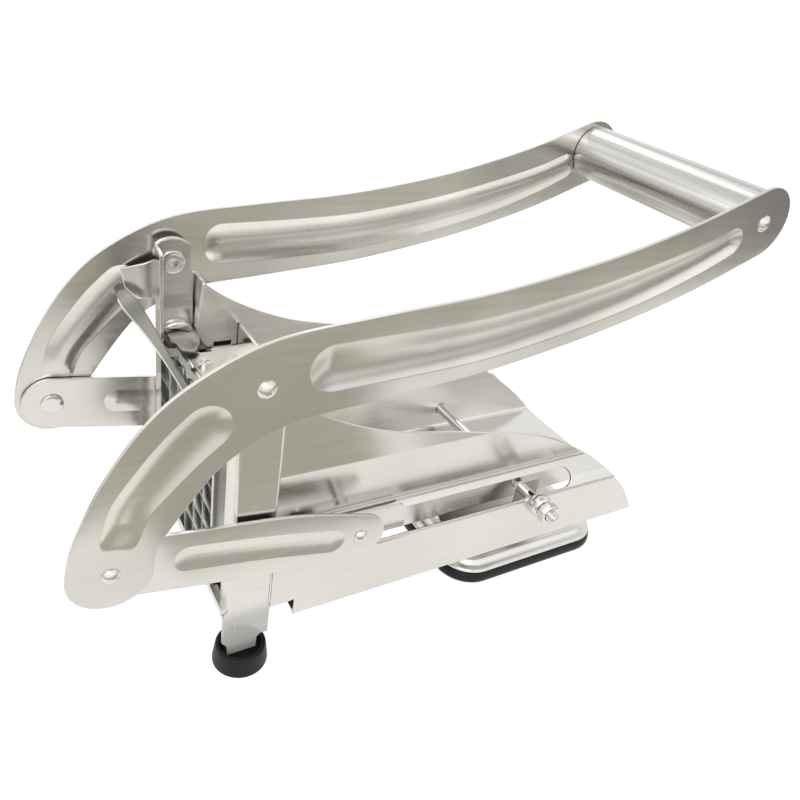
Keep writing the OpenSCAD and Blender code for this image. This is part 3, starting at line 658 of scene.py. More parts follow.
ARM_CURVE = smooth_path(ARM_LINE, 8)
LONG_RIB = smooth_path([[25.4, 4.8, 10], [61, 6.3, 9.75], [96.5, 9.0, 9.65], [139.5, 16.5, 9.15],
                        [174.7, 25, 8.8], [207.7, 35.5, 7.6], [225.8, 43, 7]], 6)
SHORT_RIB = smooth_path([[-20.5, -12, 9.3], [-28.3, -19.2, 9], [-36.8, -28.7, 8.4], [-45.9, -40.7, 7.5],
                         [-50, -53, 6.7]], 5)
LINK_PATH = smooth_path([[*ARM_PIN, 13], [-12, -74.3, 14.2], [19, -78.8, 14.4], [*LINK_PIN, 11.6]], 8)
LINK_RIB = smooth_path([[-25, -71.5, 6], [6, -76.5, 6], [36, -83, 6]], 6)
ARM_RIB_DEPTH, LINK_RIB_DEPTH = 2.1, 0.75


def dished(path, depth):
    """Depth of a rib pressed along a path of x, z and half-width: a shallow arc between creases."""
    crease = 0.05

    def depth_at(u, v):
        p = np.stack([u, v - PIVOT_Z], 1)
        share = np.full(len(p), np.inf)
        for a, b in zip(path, path[1:]):
            t = np.clip((p - a[:2]) @ (b - a)[:2] / ((b - a)[:2] @ (b - a)[:2]), 0, 1)[:, None]
            near = a + t * (b - a)
            share = np.minimum(share, np.linalg.norm(p - near[:, :2], axis=1) / near[:, 2])
        s = np.clip(1 - share ** 2, 0, 1)
        return depth * s * s / (s + crease)
    return depth_at


def raised(points):
    """Points given relative to the handle pivots, with their height above the table."""
    return np.array(points) + [0, PIVOT_Z]


def rib_rings(path):
    """Closed lines along a rib, close together at its crease and wide apart in its middle."""
    rings = []
    for share in (1.02, 0.99, 0.965, 0.93, 0.87, 0.79, 0.69, 0.57, 0.44, 0.3, 0.15):
        ring = strip(path * [1, 1, share])
        rings.append(raised(np.vstack([ring, ring[:1]])))
    return rings


def make_arm(name, side):
    """Handle arm with a long and a short rib. The short one fades out towards the front pin."""
    outline = raised(strip(np.hstack([ARM_CURVE, smooth_path(np.array([ARM_HALF] * 2).T, 8)[:, :1]])))
    long_dish, short_dish = dished(LONG_RIB, ARM_RIB_DEPTH), dished(SHORT_RIB, ARM_RIB_DEPTH)
    flat_round_pin, fade = 12.5, 7

    def dish(u, v):
        from_pin = np.hypot(u - ARM_PIN[0], v - PIVOT_Z - ARM_PIN[1])
        return long_dish(u, v) + short_dish(u, v) * np.clip((from_pin - flat_round_pin) / fade, 0, 1)

    rings = rib_rings(LONG_RIB) + rib_rings(SHORT_RIB)
    holes = [circle(0, PIVOT_Z, PIVOT_R + RUN_FIT), circle(*raised(ARM_PIN), FRONT_PIN_R),
             circle(*raised(GRIP_PIN), GRIP_ROD_R)]
    shell = slab(outline, flat_plate(side, ARM_IN, dish), ARM_T, holes, rings, 7.0, 0.3)
    piece(name, [shell], "handle", ARM_SHEET)


def make_link(name, body, side):
    dish = dished(LINK_RIB, LINK_RIB_DEPTH)
    holes = [circle(*raised(ARM_PIN), FRONT_PIN_R + RUN_FIT), circle(*raised(LINK_PIN), REAR_PIN_R)]
    shell = slab(raised(strip(LINK_PATH)), flat_plate(side, LINK_IN, dish), LINK_T, holes,
                 rib_rings(LINK_RIB), 5.0, 0.3)
    piece(name, [shell], body, SHEET)


for label, sign in SIDES:
    make_arm(f"{label}_arm", sign)
for label, sign in SIDES:
    make_link(f"{label}_link", f"{label}_link_arm", sign)


# ---------------------------------------------------------------- body

SIDE_CURVE = smooth_path(SIDE, 10) + [0, FLOOR_Z]
SIDE_END = 246


def edge_x(z):
    """How far back the side's sloping edge is at a height."""
    return np.interp(z, SIDE_CURVE[::-1, 1], SIDE_CURVE[::-1, 0])


def rectangle(x0, z0, x1, z1):
    return np.array([(x0, z0), (x1, z0), (x1, z1), (x0, z1)], float)


def make_trough():
    """Trough with a slot in its floor for the pusher's stem and a small slot in the right wall."""
    front, low_front_z, front_z, bend = -1.5, FLOOR_Z + 42, FLOOR_Z + 100.7, 3.0
    slot_front, slot_rear, slot_half, slot_r = 10, 133, 6.5, 2.0
    small_front, small_rear, small_z, small_half = 20, 29, BREAK_Z + 2.3, 1.3
    half = rounded([(0, FLOOR_Z), (FLOOR_HALF, FLOOR_Z), (WALL_IN, BREAK_Z), (WALL_IN, FLOOR_Z + 104)],
                   (0, bend, bend, 0), count=8)
    section = Section(half, -1, mirror=True)
    wall = SIDE_CURVE[SIDE_CURVE[:, 1] > FLOOR_Z + 1.5]
    right = [(front, section.find(low_front_z)), (UPRIGHT_BACK - 1, section.find(low_front_z)),
             (UPRIGHT_BACK - 1, section.find(front_z))]
    right += [(x, section.find(z)) for x, z in wall] + [(edge_x(FLOOR_Z), FLOOR_HALF - 1)]
    right = np.array(right)
    outline = np.vstack([right, right[::-1] * [1, -1]])
    at = section.find(small_z)
    holes = [rounded(rectangle(slot_front, -slot_half, slot_rear, slot_half), slot_r, True, 4),
             rectangle(small_front, at - small_half, small_rear, at + small_half)]
    holes += [circle(ROD_X, sign * section.find(ROD_Z), CROSS_ROD_R + 0.3, 20) for sign in (1, -1)]
    bends = section.bends(front - 1.5, SIDE_END)
    shell = slab(outline, bent_plate(section), SHEET_T, holes, bends, 8.0, 0.2)
    piece("trough", [shell], "base", SHEET)
    # A near-black sheet just outside the wall is painted shade: it shows through the small slot as the dark
    # inside of the body
    slot_shade = slab(rectangle(small_front - 0.4, small_z - 1.7, small_rear + 0.4, small_z + 1.7),
                  flat_plate(1, WALL_IN + SHEET_T - 0.2), 0.5, step=4.0, edge=0.1)
    piece("wall_slot_painted_shade", [slot_shade], "base", PAINTED_SHADE, node="trough")


def make_skirt(name, side):
    """Flange on the trough's wall, sloping ledge with a long slot, and a skirt with a front notch."""
    inner, ledge_z, low = UPRIGHT_OUT - SHEET_T, FLOOR_Z + LEDGE_RISE, 18
    flange_z = ledge_z + 3
    notch_x, notch_z = 23, low + 9
    path = [(SKIRT_Y + 3 * LEAN, flange_z), (SKIRT_Y, ledge_z), (inner - 3, ledge_z - 7.5),
            (inner, ledge_z - 12.5), (inner, low - 3)]
    section = Section(rounded(path, (0, 1.5, 3, 3, 0), count=6))
    rear = SIDE_CURVE[(SIDE_CURVE[:, 1] < flange_z - 0.1) & (SIDE_CURVE[:, 1] > low + 0.1)]
    outline = [(UPRIGHT_BACK, 0), (edge_x(flange_z), 0)] + [(x, section.find(z)) for x, z in rear]
    outline += [(x, section.find(z)) for x, z in (
        (edge_x(low), low), (notch_x, low), (notch_x - 0.2, notch_z + 0.4), (20, notch_z),
        (UPRIGHT_BACK, notch_z))]
    # The ledge's slot, whose sides are counted along the section down to the skirt's bend
    slot_front, slot_rear, slot_sides, to_bend = 20, 177, (46.0, 52.9), 18
    low_side, high_side = np.interp(slot_sides, section.points[:to_bend, 0], section.length[:to_bend])
    middle, r = (low_side + high_side) / 2, (high_side - low_side) / 2
    turn = np.linspace(-math.pi / 2, math.pi / 2, 9)
    slot = [(slot_front, high_side), (slot_front, low_side)]
    slot += [(slot_rear + r * math.cos(a), middle + r * math.sin(a)) for a in turn]
    hole = circle(ROD_X, section.find(ROD_Z), CROSS_ROD_R + RUN_FIT, 20)
    shell = slab(outline, bent_plate(section, side), SHEET_T, [slot, hole], section.bends(5, SIDE_END),
                 8.0, 0.2)
    # The tab is near black: painted shade inside the notch
    tab = slab([(19.6, notch_z + 0.4), (notch_x + 0.4, low + 0.6), (notch_x + 0.4, notch_z + 0.8)],
               flat_plate(side, inner - 1), 0.8, step=3.0, edge=0.1)
    piece(name + "_tab", [tab], "base", PAINTED_SHADE, node=name)
    piece(name, [shell], "base", SHEET)


def make_upright(name, side):
    """Bent channel with a round-topped ear, a leg that ends in a tongue, and a folded front wing."""
    flange, ear_r = 8, 11
    rear_flange_top, ear_foot = 113, 137
    path = [(-UPRIGHT_FRONT, UPRIGHT_IN - flange), (-UPRIGHT_FRONT, UPRIGHT_OUT),
            (UPRIGHT_BACK, UPRIGHT_OUT), (UPRIGHT_BACK, UPRIGHT_IN - flange)]
    bent = Section(rounded(path, (0, 2, 2, 0), count=6), -1)
    whole = bent.length[-1]
    shift = whole / 2 - (UPRIGHT_BACK - UPRIGHT_FRONT) / 2
    flare_slope, groove_x, groove_depth = 0.28, -4.6, 0.2

    def place(u, v, t):
        # Towards its top the rear flange leans back; the leg's foot end is flat, with a shallow groove
        x, y = bent.at(u + shift, UPRIGHT_T - t)
        flare = np.clip((v - rear_flange_top) / 24, 0, 1) * np.clip(UPRIGHT_IN - y, 0, 9) * (u > 2)
        flat = np.clip((FLOOR_Z - 4 - v) / 2, 0, 1)
        x = x + flare_slope * flare + flat * (u - x)
        y = y + flat * (UPRIGHT_IN + t - y)
        y = y - groove_depth * np.exp(-((u - groove_x) / 0.5) ** 2) * (v < 45) * (v > 12)
        return np.stack([x, side * y, v], 1)

    front, back = -shift, whole - shift
    outline = [(-7, 4.5), (6.5, 4.5), (6.5, 10.5), (8, 12.2), (11.4, 12.2), (11.4, 31.0), (back - 3, 32.6),
               (back - 3, rear_flange_top), (back - 0.8, 133), (back - 1, 135.2), (UPRIGHT_BACK, 137.2),
               (9.4, 137.4), (8.3, 139)]
    outline += [(ear_r * math.cos(a), PIVOT_Z + ear_r * math.sin(a)) for a in np.linspace(0.72, 2.32, 20)]
    outline += [(front + 0.6, PIVOT_Z + 6.6), (front, PIVOT_Z + 5.6), (front, 32.6), (-UPRIGHT_FRONT, 31),
                (-9.3, 30), (-9.3, 13), (-7, 10)]
    lines = [[(v - shift, 25), (v - shift, 152)] for v in bent.length[1:-1]]
    lines += [[(front - 2, z), (back + 2, z)] for z in (28, 30, rear_flange_top, ear_foot)]
    lines += [[(x, 12.5), (x, 44.5)] for x in groove_x + np.array([-1, -0.5, 0, 0.5, 1])]
    channel = slab(outline, place, UPRIGHT_T, [circle(0, PIVOT_Z, PIVOT_R)], lines, 8.0, 0.25)
    fold_x = -12.2

    def folded(u, v, t):
        bend = np.clip(fold_x - u, 0, 20)
        return np.stack([u + 0.06 * bend, side * (UPRIGHT_OUT - 1.4 + t + 0.35 * bend), v], 1)

    wing_outline = [(x, PIVOT_Z + z) for x, z in (
        (-6.9, 1.2), (fold_x, -0.8), (-22, -4), (-20.5, -12.5), (-15, -18), (-6.9, -17.5))]
    wing = slab(wing_outline, folded, SHEET_T, (), [[(fold_x, 120), (fold_x, 146)]], 4.0, 0.4)
    piece(name, [channel, wing], "base", LEG_SHEET)


def make_clip(name, side):
    """Spring strap with a pressed bead across it and a creased tab that backs the cartridge."""
    tab_z, tab_l = GRID_TOP + 1.9, 22
    path = [(UPRIGHT_IN - depth, z) for depth, z in (
        (0, PIVOT_Z + 12), (0, GRID_TOP + 21), (0.9, GRID_TOP + 15), (0, GRID_TOP + 8.2), (0, tab_z + 0.7),
        (1.8, tab_z + 0.4), (tab_l, tab_z))]
    section = Section(rounded(path, (0, 4, 4, 0.5, 0.3, 1, 0), count=5), -1)
    crease = section.find(tab_z + 0.38)

    def place(u, v, t):
        y, z = section.at(v, t)
        beyond = np.clip(v - crease, 0, 14)
        facets = 0.3 * np.clip(u - 2.5 - 0.3 * beyond, 0, 6) + 0.22 * np.clip(-u - 0.5 - 0.1 * beyond, 0, 6)
        return np.stack([u, side * y, z + facets * np.clip(beyond / 6, 0, 1)], 1)

    top_r = 10.8
    wide = [(9.3, GRID_TOP + 4), (9.2, GRID_TOP + 26), (8.3, PIVOT_Z - 3)]
    wide += [(top_r * math.cos(a), PIVOT_Z + top_r * math.sin(a)) for a in np.linspace(0.71, 2.09, 15)]
    wide += [(-5.4, PIVOT_Z), (-5.4, GRID_TOP + 4)]
    wide += [(x, tab_z + h) for x, h in (
        (-5.0, 0.4), (-3.8, 0.36), (-3.6, 0.2), (-1.6, 0.16), (-1.4, 0.05), (0.2, 0.015), (2.2, 0.003),
        (4.6, 0.015), (7.4, 0.08), (9.0, 0.17), (9.3, 0.3))]
    outline = [(x, section.find(z)) for x, z in wide]
    lines = section.bends(-12, 12)
    lines += [[(2.5, crease), (8.2, section.find(tab_z + 0.01))],
              [(-0.5, crease), (-1.3, section.find(tab_z + 0.16))]]
    shell = slab(outline, place, SHEET_T, [circle(0, section.find(PIVOT_Z), PIVOT_R)], lines, 2.4, 0.2)
    piece(name, [shell], "base", CLIP_SHEET, "bright")
    # The bead is a lens that bulges inwards, with its flat back in the strap
    half_w, bulge, half_h, middle_x, low_z, arch = 7.2, 3, 2.5, 1.9, GRID_TOP + 5.3, 1
    flat_back = 0.1
    rings = []
    for share in np.sin(np.linspace(-1.5, 1.5, 27)):
        cap = 1 - share ** 2
        ring = []
        for a in np.arange(20) * math.pi / 10:
            inward = bulge * cap ** 0.4 * max(math.cos(a), flat_back * math.cos(a))
            ring.append((middle_x + half_w * share, side * (UPRIGHT_IN - SHEET_T - inward),
                         low_z + cap * (arch + half_h * math.sin(a))))
        rings.append(ring)
    piece(name + "_bead", [loft(rings)], "base", BRIGHT, "bright", name)


def make_brace():
    """Bowed leaf that ties the two wings over the blade cartridge, with a bright bead as its hem."""
    middle, end = np.array([-12.0, GRID_TOP + 6]), np.array([-26.0, PIVOT_Z - 15])
    reach = np.linalg.norm(end - middle)
    tilt = math.atan2(end[0] - middle[0], end[1] - middle[1])
    y = UPRIGHT_IN * np.sin(np.linspace(-math.pi / 2, math.pi / 2, 97))
    bow = 1 - np.sqrt(1 - (y / (UPRIGHT_IN + 1)) ** 2)
    section = Section(np.stack([y, reach * bow / bow[-1]], 1))

    def place(u, v, t):
        across, up = section.at(v, t)
        x = middle[0] + u * math.cos(tilt) + up * math.sin(tilt)
        z = middle[1] - u * math.sin(tilt) + up * math.cos(tilt)
        return np.stack([x, across, z], 1)

    # The leaf widens towards its ends, which are rounded off
    narrow, widening = 2, 5.6
    share = np.abs(y) / UPRIGHT_IN
    width = narrow + widening * share ** 1.5
    rounding = np.sqrt(np.clip(1 - ((share - 0.9) / 0.105).clip(0, 1) ** 2, 0, 1))
    axis = 0.45 * width
    rear_edge, front_edge = axis + (width - axis) * rounding, axis * (1 - rounding)
    outline = np.vstack([np.stack([rear_edge, section.length], 1),
                         np.stack([front_edge, section.length], 1)[::-1]])
    lines = [[(-1, v), (10, v)] for v in section.length[1:-1]]
    shell = slab(outline, place, SHEET_T, (), lines, 4.0, 0.2)
    piece("front_brace", [shell], "base", BRACE_SHEET)
    hem_r = SHEET_T / 2
    rings = []
    for u, v in zip(front_edge[6:-6], section.length[6:-6]):
        centre, ahead, over = place(np.array([u, u + hem_r, u]), np.full(3, v),
                                    np.array([hem_r, hem_r, 2 * hem_r]))
        rings.append([centre + math.cos(a) * (ahead - centre) + math.sin(a) * (over - centre)
                      for a in np.arange(10) * math.pi / 5])
    piece("front_brace_hem", [loft(rings)], "base", BRIGHT, node="front_brace")


make_trough()
for make, part in ((make_skirt, "skirt"), (make_upright, "upright"), (make_clip, "blade_clip")):
    for label, sign in SIDES:
        make(f"{label}_{part}", sign)
make_brace()


# ---------------------------------------------------------------- suction pad and feet

PAD_L, PAD_W, PAD_R = 105, 117, 19
# Rows of inset from the pad's outline and height
RUBBER_ROWS = [(14, 1.6), (9, 1.4), (6.5, 0.3), (5.5, 0.0), (1.6, 0.0), (0.5, 0.5), (0.0, 1.6), (0.0, 3.0),
               (0.3, 4.6), (0.9, 5.6), (1.6, 6.0), (12, 6.0)]
COVER_ROWS = [(30, 6.1), (2.2, 6.1), (1.5, 6.3), (1.2, 7.0), (1.4, 7.8), (2.0, 8.3), (3.0, 8.6), (4.0, 8.8),
              (4.8, 9.3), (5.4, 10.4), (6.0, 11.2), (7.0, 11.7), (8.2, 11.9), (9.0, 12.3), (9.8, 13.4),
              (10.6, 14.4), (12.0, 14.9), (14.0, 15.0), (30, 15.0)]
# Rows of radius and height
FOOT_ROWS = [(1.5, 0.4), (9.5, 0.3), (10.8, 0.0), (11.5, 0.15), (11.95, 0.7), (12.0, 1.4), (11.5, 5.0),
             (10.9, 9.5), (10.5, 10.1), (9.6, 10.2), (9.0, 9.8), (8.7, 9.0), (8.45, 5.6), (8.2, 4.5),
             (7.6, 4.1), (5.2, 4.1), (4.9, 3.8), (4.3, 3.8), (4.0, 4.1), (1.5, 4.1)]
FOOT_X = -0.5


def rounded_ring(length, width, r, z, count=10):
    """Points of a rounded rectangle about the middle of the pad."""
    ring = []
    for k, (sx, sy) in enumerate([(1, 1), (-1, 1), (-1, -1), (1, -1)]):
        for a in np.linspace(k * math.pi / 2, (k + 1) * math.pi / 2, count):
            ring.append((PIVOT_TO_PAD + sx * (length / 2 - r) + r * math.cos(a),
                         sy * (width / 2 - r) + r * math.sin(a), z))
    return ring


def make_pad_layer(name, rows, material, slot):
    """Rings round the pad, each drawn in from its outline by the row's inset."""
    least_r = 2.0
    rings = [rounded_ring(PAD_L - 2 * inset, PAD_W - 2 * inset, max(PAD_R - inset, least_r), z)
             for inset, z in rows]
    piece(name, [loft(rings)], "base", material, slot)


def make_foot(name, side, count=64):
    """Flared rubber cup, turned about the leg's upright axis."""
    a = np.arange(count) * 2 * math.pi / count
    y = side * (UPRIGHT_OUT - UPRIGHT_T / 2)
    rings = [np.stack([FOOT_X + r * np.cos(a), y + r * np.sin(a), 0 * a + z], 1) for r, z in FOOT_ROWS]
    piece(name, [loft(rings)], "base", FOOT_RUBBER, "foot_rubber")


make_pad_layer("rubber_pad", RUBBER_ROWS, PAD_RUBBER, "pad_rubber")
make_pad_layer("pad_cover", COVER_ROWS, SHEET, "sheet")
for label, sign in SIDES:
    make_foot(f"{label}_foot", sign)


# ---------------------------------------------------------------- pins, rivets, nuts and grip

def turned(name, profile, at, start, body, material=BRIGHT, slot="bright", node=None, across_flats=0.0,
           segments=48, twist=0.0, left=True, right=True):
    """Turned parts at a cross pin, from a profile in millimetres that starts at distance start."""
    points = [(r * MM, h * MM, 0) for r, h in profile]
    edges = [(i, i + 1) for i in range(len(points) - 1)]
    if profile[0][0] > 0 and profile[-1][0] > 0:
        edges.append((len(points) - 1, 0))
    grow(name, TURNED, points, edges, body, slot, node, Segments=segments,
         Across_Flats=float(across_flats * MM), X=(at[0] - PIVOT_TO_PAD) * MM, Z=at[1] * MM,
         Start=float(start * MM), Twist=float(twist), Left=left, Right=right, Metal=material)


def dome_profile(radius, height):
    """Profile of a domed head with a low upright rim that stands on a plane."""
    rim = 0.25
    ball = (radius ** 2 + height ** 2) / (2 * height)
    top = math.asin(min(1, radius / ball))
    arc = [(ball * math.sin(a), ball * math.cos(a) - ball + height + rim) for a in np.linspace(0, top, 9)]
    return arc + [(radius, rim * 0.3), (radius - rim * 0.4, 0), (0, 0)]


def ring_profile(inner, outer, thick, bevel):
    """Profile of a washer whose outer edges are bevelled."""
    return [(inner, 0), (outer - bevel, 0), (outer, bevel), (outer, thick - bevel),
            (outer - bevel, thick), (inner, thick)]


def shank(radius, end):
    """Profile of a shank that goes on from a head to a depth below it, and ends flat."""
    return [(radius, -0.02), (radius, end), (0, end)]


def make_pivots():
    """Rivets of the handle pivots, upset on the inside, and the rings under the arms."""
    end = UPRIGHT_IN - SHEET_T - ARM_OUT
    upset = [(5.6, end), (5.6, end - 0.7), (5.1, end - 1.15), (2.4, end - 1.2), (1.4, end - 0.9),
             (0, end - 0.8)]
    turned("pivot_rivets", dome_profile(3.7, 1.8) + shank(PIVOT_R, end)[:2] + upset, PIVOT, ARM_OUT, "base")
    turned("pivot_spacers", ring_profile(PIVOT_R, 6.7, ARM_IN - UPRIGHT_OUT - 0.1, 0.3), PIVOT, UPRIGHT_OUT,
           "base")


def make_link_rivets():
    end = LINK_IN - ARM_OUT
    upset = [(4.9, end - 0.1), (4.9, end - 0.7), (4.4, end - 1.1), (0, end - 1.1)]
    head = dome_profile(3.4, 1.7)
    turned("front_rivets", head + shank(FRONT_PIN_R, end - 0.1)[:2] + upset, FRONT_PIN, ARM_OUT, "handle")
    rear = head + shank(REAR_PIN_R, -LINK_T)
    for label, sign in SIDES:
        turned(f"{label}_rear_rivet", rear, REAR_PIN, LINK_OUT, f"{label}_link_arm", left=sign < 0,
               right=sign > 0)


def make_grip():
    """Tube that turns on bushes about a rod between the arms."""
    bore, outer, bush_l = 13.3, 14.5, 6
    turned("grip_rod", dome_profile(4.0, 1.8) + shank(GRIP_ROD_R, 2 - ARM_OUT), GRIP_AT, ARM_OUT, "handle")
    bush = [(3.3, 0), (bore - 0.1, 0), (bore, 0.4), (bore, bush_l), (3.3, bush_l)]
    turned("grip_bushes", bush, GRIP_AT, ARM_IN - bush_l - 0.3, "grip", DARK_PLASTIC, "bush_plastic")
    end = ARM_IN - 0.3
    half = [(bore, 0), (bore, end - 0.3), (bore + 0.3, end), (outer - 0.4, end), (outer, end - 0.4),
            (outer, 0)]
    tube = half + [(r, -h) for r, h in half[-2:0:-1]]
    turned("grip_tube", tube, GRIP_AT, 0, "grip", GRIP, "grip_steel", segments=96, left=False)


def make_nuts():
    """On each end of the cross rod a washer, a flanged collar nut and a plain nut, seen apart."""
    washer_t, nut_start, nut_turn = 0.8, 6.4, 0.4
    nut = [(3.0, 0), (4.7, 0), (5.9, 0.7), (5.9, 4.3), (4.7, 5.0), (3.0, 5.0)]
    collar = [(3.0, 0), (5.4, 0), (6.1, 0.5), (6.2, 2.6), (5.9, 3.8), (5.0, 4.8), (3.8, 5.2), (3.0, 5.2)]
    turned("cross_rod_nuts", nut, ROD, UPRIGHT_OUT + nut_start, "base", across_flats=10.0, segments=72,
           twist=nut_turn)
    turned("cross_rod_collars", collar, ROD, UPRIGHT_OUT + washer_t, "base", node="cross_rod_nuts",
           across_flats=12.0, segments=72)
    turned("cross_rod_washers", ring_profile(CROSS_ROD_R, 6.2, washer_t, 0.2), ROD, UPRIGHT_OUT, "base")


def make_rod():
    """Rod across the trough, with a thread on both ends."""
    end, start, pitch, depth = UPRIGHT_OUT + 16, UPRIGHT_OUT - 2, 1.0, 0.45
    core, point = 2.3, 0.6
    count = 40
    y = np.concatenate([[end, end, end - 0.5], np.arange(end - 0.8, start, -0.16), [start - 0.5]])
    y = np.concatenate([y, -y[::-1]])
    turn = np.arange(count) * 2 * math.pi / count
    rings = []
    for i, h in enumerate(y):
        phase = (h / pitch + turn / (2 * math.pi)) % 1.0
        r = CROSS_ROD_R - depth * np.abs(2 * phase - 1) * (start < abs(h) < end)
        if i in (0, len(y) - 1):
            r = 0 * r + point
        elif abs(h) > end - 0.7:
            r = np.minimum(r, core + 1.1 * (end - abs(h)))
        rings.append(np.stack([ROD_X + r * np.cos(turn), 0 * turn + h, ROD_Z + r * np.sin(turn)], 1))
    piece("cross_rod", [loft(rings)], "base", BRIGHT, "bright")


PIVOT, ROD = (0, PIVOT_Z), (ROD_X, ROD_Z)
FRONT_PIN, REAR_PIN, GRIP_AT = (tuple(raised(p)) for p in (ARM_PIN, LINK_PIN, GRIP_PIN))
make_pivots()
make_link_rivets()
make_grip()
make_nuts()
make_rod()


# ---------------------------------------------------------------- blades and pusher

def bars(name, columns, rows, size, taper, scale, x, body, metal, slot):
    """Rows and columns of bars about the middle of the blade grid."""
    grow(name, BARS, [(0, 0, 0)], [], body, slot, Columns=columns, Rows=rows, Pitch=PITCH * MM,
         Size=[s * MM for s in size], Taper=float(taper * MM), Taper_Scale=scale,
         Centre=((x - PIVOT_TO_PAD) * MM, 0.0, (FLOOR_Z + GRID_W / 2) * MM), Metal=metal)


def make_blades():
    """Blades that are ground to an edge on the pusher's side."""
    body_d, edge_d, thick, front = 4.9, 1.5, 0.7, -9.2
    thin = 0.05
    at = front + body_d / 2
    bars("vertical_blades", CELLS - 1, 1, (body_d, thick, GRID_W), edge_d, (1, thin, 1), at, "cartridge",
         BLADE, "blade")
    bars("horizontal_blades", 1, CELLS - 1, (body_d, GRID_W, thick), edge_d, (1, 1, thin), at, "cartridge",
         BLADE, "blade")


def make_studs():
    """Studs of the press plate, one for each cell of the grid, with sunk rear ends."""
    length, width, sunk, middle = 6.7, 9.6, 0.8, 2.65
    bars("press_studs", CELLS, CELLS, (length, width, width), -sunk, (1, 1, 1), middle, "pusher", SHEET,
         "sheet")


def make_pusher_box():
    """Box whose top has wavy rims and sloping sides that reach out to the walls behind the uprights."""
    start, end, half, low, top_t = 8.8, 32.8, 33.5, FLOOR_Z + 1.0, 1.2
    high = GRID_TOP - top_t - 0.1
    rim_y, rim_h, slope, reach = 36.2, 0.6, 0.72, 49.2
    box = [[(x, y * half, z) for y, z in ((-1, low), (1, low), (1, high), (-1, high))]
           for x in (start, start + 0.01, end - 0.01, end)]

    def place(u, v, t):
        beyond = np.abs(v) - rim_y - 0.7 * np.sin(u / 2.6)
        rim = rim_h * np.exp(-(beyond / 1.1) ** 2) * (u > 10)
        return np.stack([u, v, GRID_TOP - top_t + t + rim - slope * np.maximum(beyond, 0)], 1)

    side = [(1.3, half), (12.6, half), (13.4, 37), (14.6, 42), (16, 47), (18, reach), (end, reach)]
    outline = side + [(x, -y) for x, y in side[::-1]]
    lines = [[(0, y), (60, y)] for k in np.arange(half + 0.4, 39, 0.5) for y in (-k, k)]
    top = slab(outline, place, top_t, (), lines, 3.0, 0.25)
    piece("pusher_box", [loft(box), top], "pusher", SHEET)


make_blades()
make_studs()
make_pusher_box()

# Solids whose shape is shown as it is
for label, metal in (("cartridge_frame", BLADE), ("front_sill", SHEET), ("carriage", SHEET),
                     ("link_pins", BRIGHT), ("left_pad_hanger", SHEET), ("right_pad_hanger", SHEET),
                     ("press_plate", SHEET), ("pusher_back", SHEET), ("pusher_stem", STEM_PLASTIC),
                     ("pusher_screws", BRIGHT)):
    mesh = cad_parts[label].data
    mesh.materials.clear()
    mesh.materials.append(metal)


# ---------------------------------------------------------------- room, lights and camera

def studio_rays(add):
    """What camera rays and what mirror and glass rays meet, as two masks."""
    path = add("ShaderNodeLightPath").outputs
    return path["Is Camera Ray"], maths(add, "MAXIMUM", path["Is Glossy Ray"], path["Is Transmission Ray"])


def make_floor():
    """White sheet to the camera; the metal shows it pale beside the part and darker further out.

    Distances are in metres. The pale part widens towards the rear, and a little ahead of the front.
    """
    mesh = bpy.data.meshes.new("floor")
    mesh.from_pydata([(-6, -6, 0), (6, -6, 0), (6, 6, 0), (-6, 6, 0)], [], [(0, 1, 2, 3)])
    obj = new_object("floor", mesh)
    material, bsdf, tree, add = new_material("pale_floor")
    feed(tree, bsdf, Base_Color=(0.3, 0.3, 0.3, 1), Roughness=1.0, Specular_IOR_Level=0.0)
    seen, mirrored = studio_rays(add)
    spot = add("ShaderNodeTexCoord").outputs["Object"]
    parts = split(add, spot)
    back, across = parts["X"], maths(add, "ABSOLUTE", parts["Y"])
    widening = ramp(add, back, -0.06, 0.034, 0.122, 0.29)
    rearward = maths(add, "MULTIPLY", maths(add, "MAXIMUM", back, 0.0), 0.12)
    ahead = ramp(add, back, -0.19, -0.172, 0.05, 0.0)
    pale_half = maths(add, "ADD", maths(add, "ADD", rearward, ahead), widening)
    past = maths(add, "SUBTRACT", across, pale_half)
    # A soft shade beside the rear half, and a pale strip far out along the sides
    near_edge = ramp(add, past, -0.11, -0.05, 1.0, 0.0)
    shade = maths(add, "MULTIPLY", ramp(add, across, 0.1, 0.16, 0.0, 0.75), near_edge)
    far_side = maths(add, "SUBTRACT", across, maths(add, "MULTIPLY", back, 0.3))
    dark = maths(add, "MAXIMUM", ramp(add, past, -0.008, 0.012), shade)
    dark = maths(add, "MULTIPLY", dark, ramp(add, far_side, 0.35, 0.8, 1.0, 0.2))
    tint = mix_colours(add, dark, (0.83, 0.815, 0.79), (0.27, 0.25, 0.18))
    fade = ramp(add, back, 0.3, 1.1, 1.0, 0.2)
    # To the camera the white deepens with distance, which leaves the part its shadow
    away = add("ShaderNodeVectorMath", {"operation": "LENGTH"}, i0=spot).outputs["Value"]
    lift = ramp(add, away, 0.3, 1.1, 0.9, 1.0)
    plain = add("ShaderNodeEmission", Strength=maths(add, "MULTIPLY", seen, lift))
    shown = add("ShaderNodeEmission", Color=tint, Strength=maths(add, "MULTIPLY", mirrored, fade))
    total = add("ShaderNodeAddShader", i0=bsdf, i1=add("ShaderNodeAddShader", i0=plain, i1=shown))
    feed(tree, tree.nodes["Material Output"], Surface=total)
    mesh.materials.append(material)


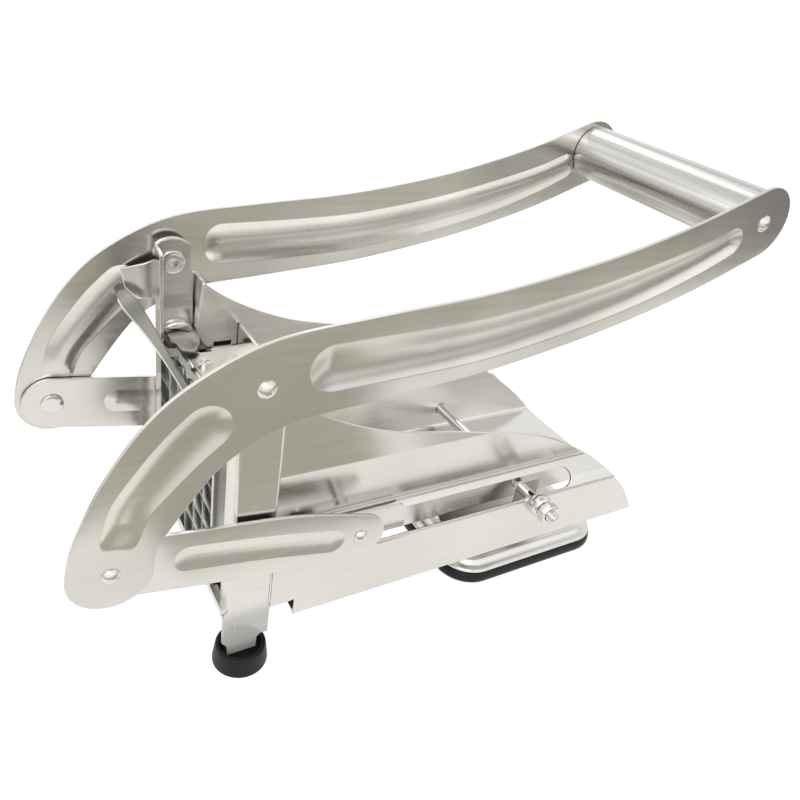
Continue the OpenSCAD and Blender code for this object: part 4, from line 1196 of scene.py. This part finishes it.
def make_world():
    """White to the camera; the metal shows a pale room that is dimmer straight overhead."""
    world = bpy.data.worlds.new("studio")
    bpy.context.scene.world = world
    world.use_nodes = True
    tree = world.node_tree
    add = partial(add_node, tree)
    ambient = 0.6
    seen, mirrored = studio_rays(add)
    toward = split(add, add("ShaderNodeTexCoord").outputs["Generated"])
    room = ramp(add, toward["Z"], -0.05, 0.2, ambient, 0.93)
    walls = ramp(add, maths(add, "ABSOLUTE", toward["Y"]), 0.4, 0.9, 0.0, 0.3)
    overhead = ramp(add, toward["Z"], 0.75, 0.97, 1.0, 0.5)
    room = maths(add, "MULTIPLY", maths(add, "ADD", room, walls), maths(add, "MULTIPLY", mirrored, overhead))
    strength = maths(add, "MAXIMUM", seen, maths(add, "MAXIMUM", room, ambient))
    feed(tree, tree.nodes["Background"], Color=(1, 1, 1, 1), Strength=strength)


def make_lamp(name, at, target, size, power):
    """Rectangular softbox at a place, turned to face its target."""
    lamp = bpy.data.lights.new(name, "AREA")
    lamp.shape, lamp.size, lamp.size_y, lamp.energy = "RECTANGLE", size[0], size[1], power
    obj = new_object(name, lamp)
    at, target = Vector(at), Vector(target)
    obj.location = at
    obj.rotation_mode = "QUATERNION"
    obj.rotation_quaternion = (target - at).to_track_quat("-Z", "Y")


def make_camera():
    """Camera turned round the part, raised and rolled, with its right, up and back given outright."""
    azimuth, elevation, roll = 0.6298, 0.5401, 0.1871
    at, lens, sensor_w = (-0.256164, -0.259155, 0.276985), 33.388, 36.0
    forward = Vector((math.sin(azimuth) * math.cos(elevation), math.cos(azimuth) * math.cos(elevation),
                      -math.sin(elevation)))
    level = Vector((math.cos(azimuth), -math.sin(azimuth), 0))
    upright = level.cross(forward)
    right = math.cos(roll) * level + math.sin(roll) * upright
    up = -math.sin(roll) * level + math.cos(roll) * upright
    camera = bpy.data.cameras.new("camera")
    camera.sensor_width, camera.lens = sensor_w, lens
    camera.clip_start, camera.clip_end = 0.01, 50
    obj = new_object("camera", camera)
    obj.matrix_world = Matrix.Translation(at) @ Matrix((right, up, -forward)).transposed().to_4x4()
    bpy.context.scene.camera = obj


make_floor()
make_world()
make_lamp("key_softbox", (-0.55, -0.75, 0.95), (0, 0, 0.06), (0.8, 0.8), 2.2)
make_lamp("fill_softbox", (-0.9, 0.35, 0.7), (0, 0, 0.08), (0.6, 0.6), 0.8)
make_lamp("top_softbox", (0.2, 0.6, 1.05), (0, 0, 0.06), (0.3, 0.6), 0.7)
make_camera()
bpy.context.scene.view_settings.view_transform = "Standard"
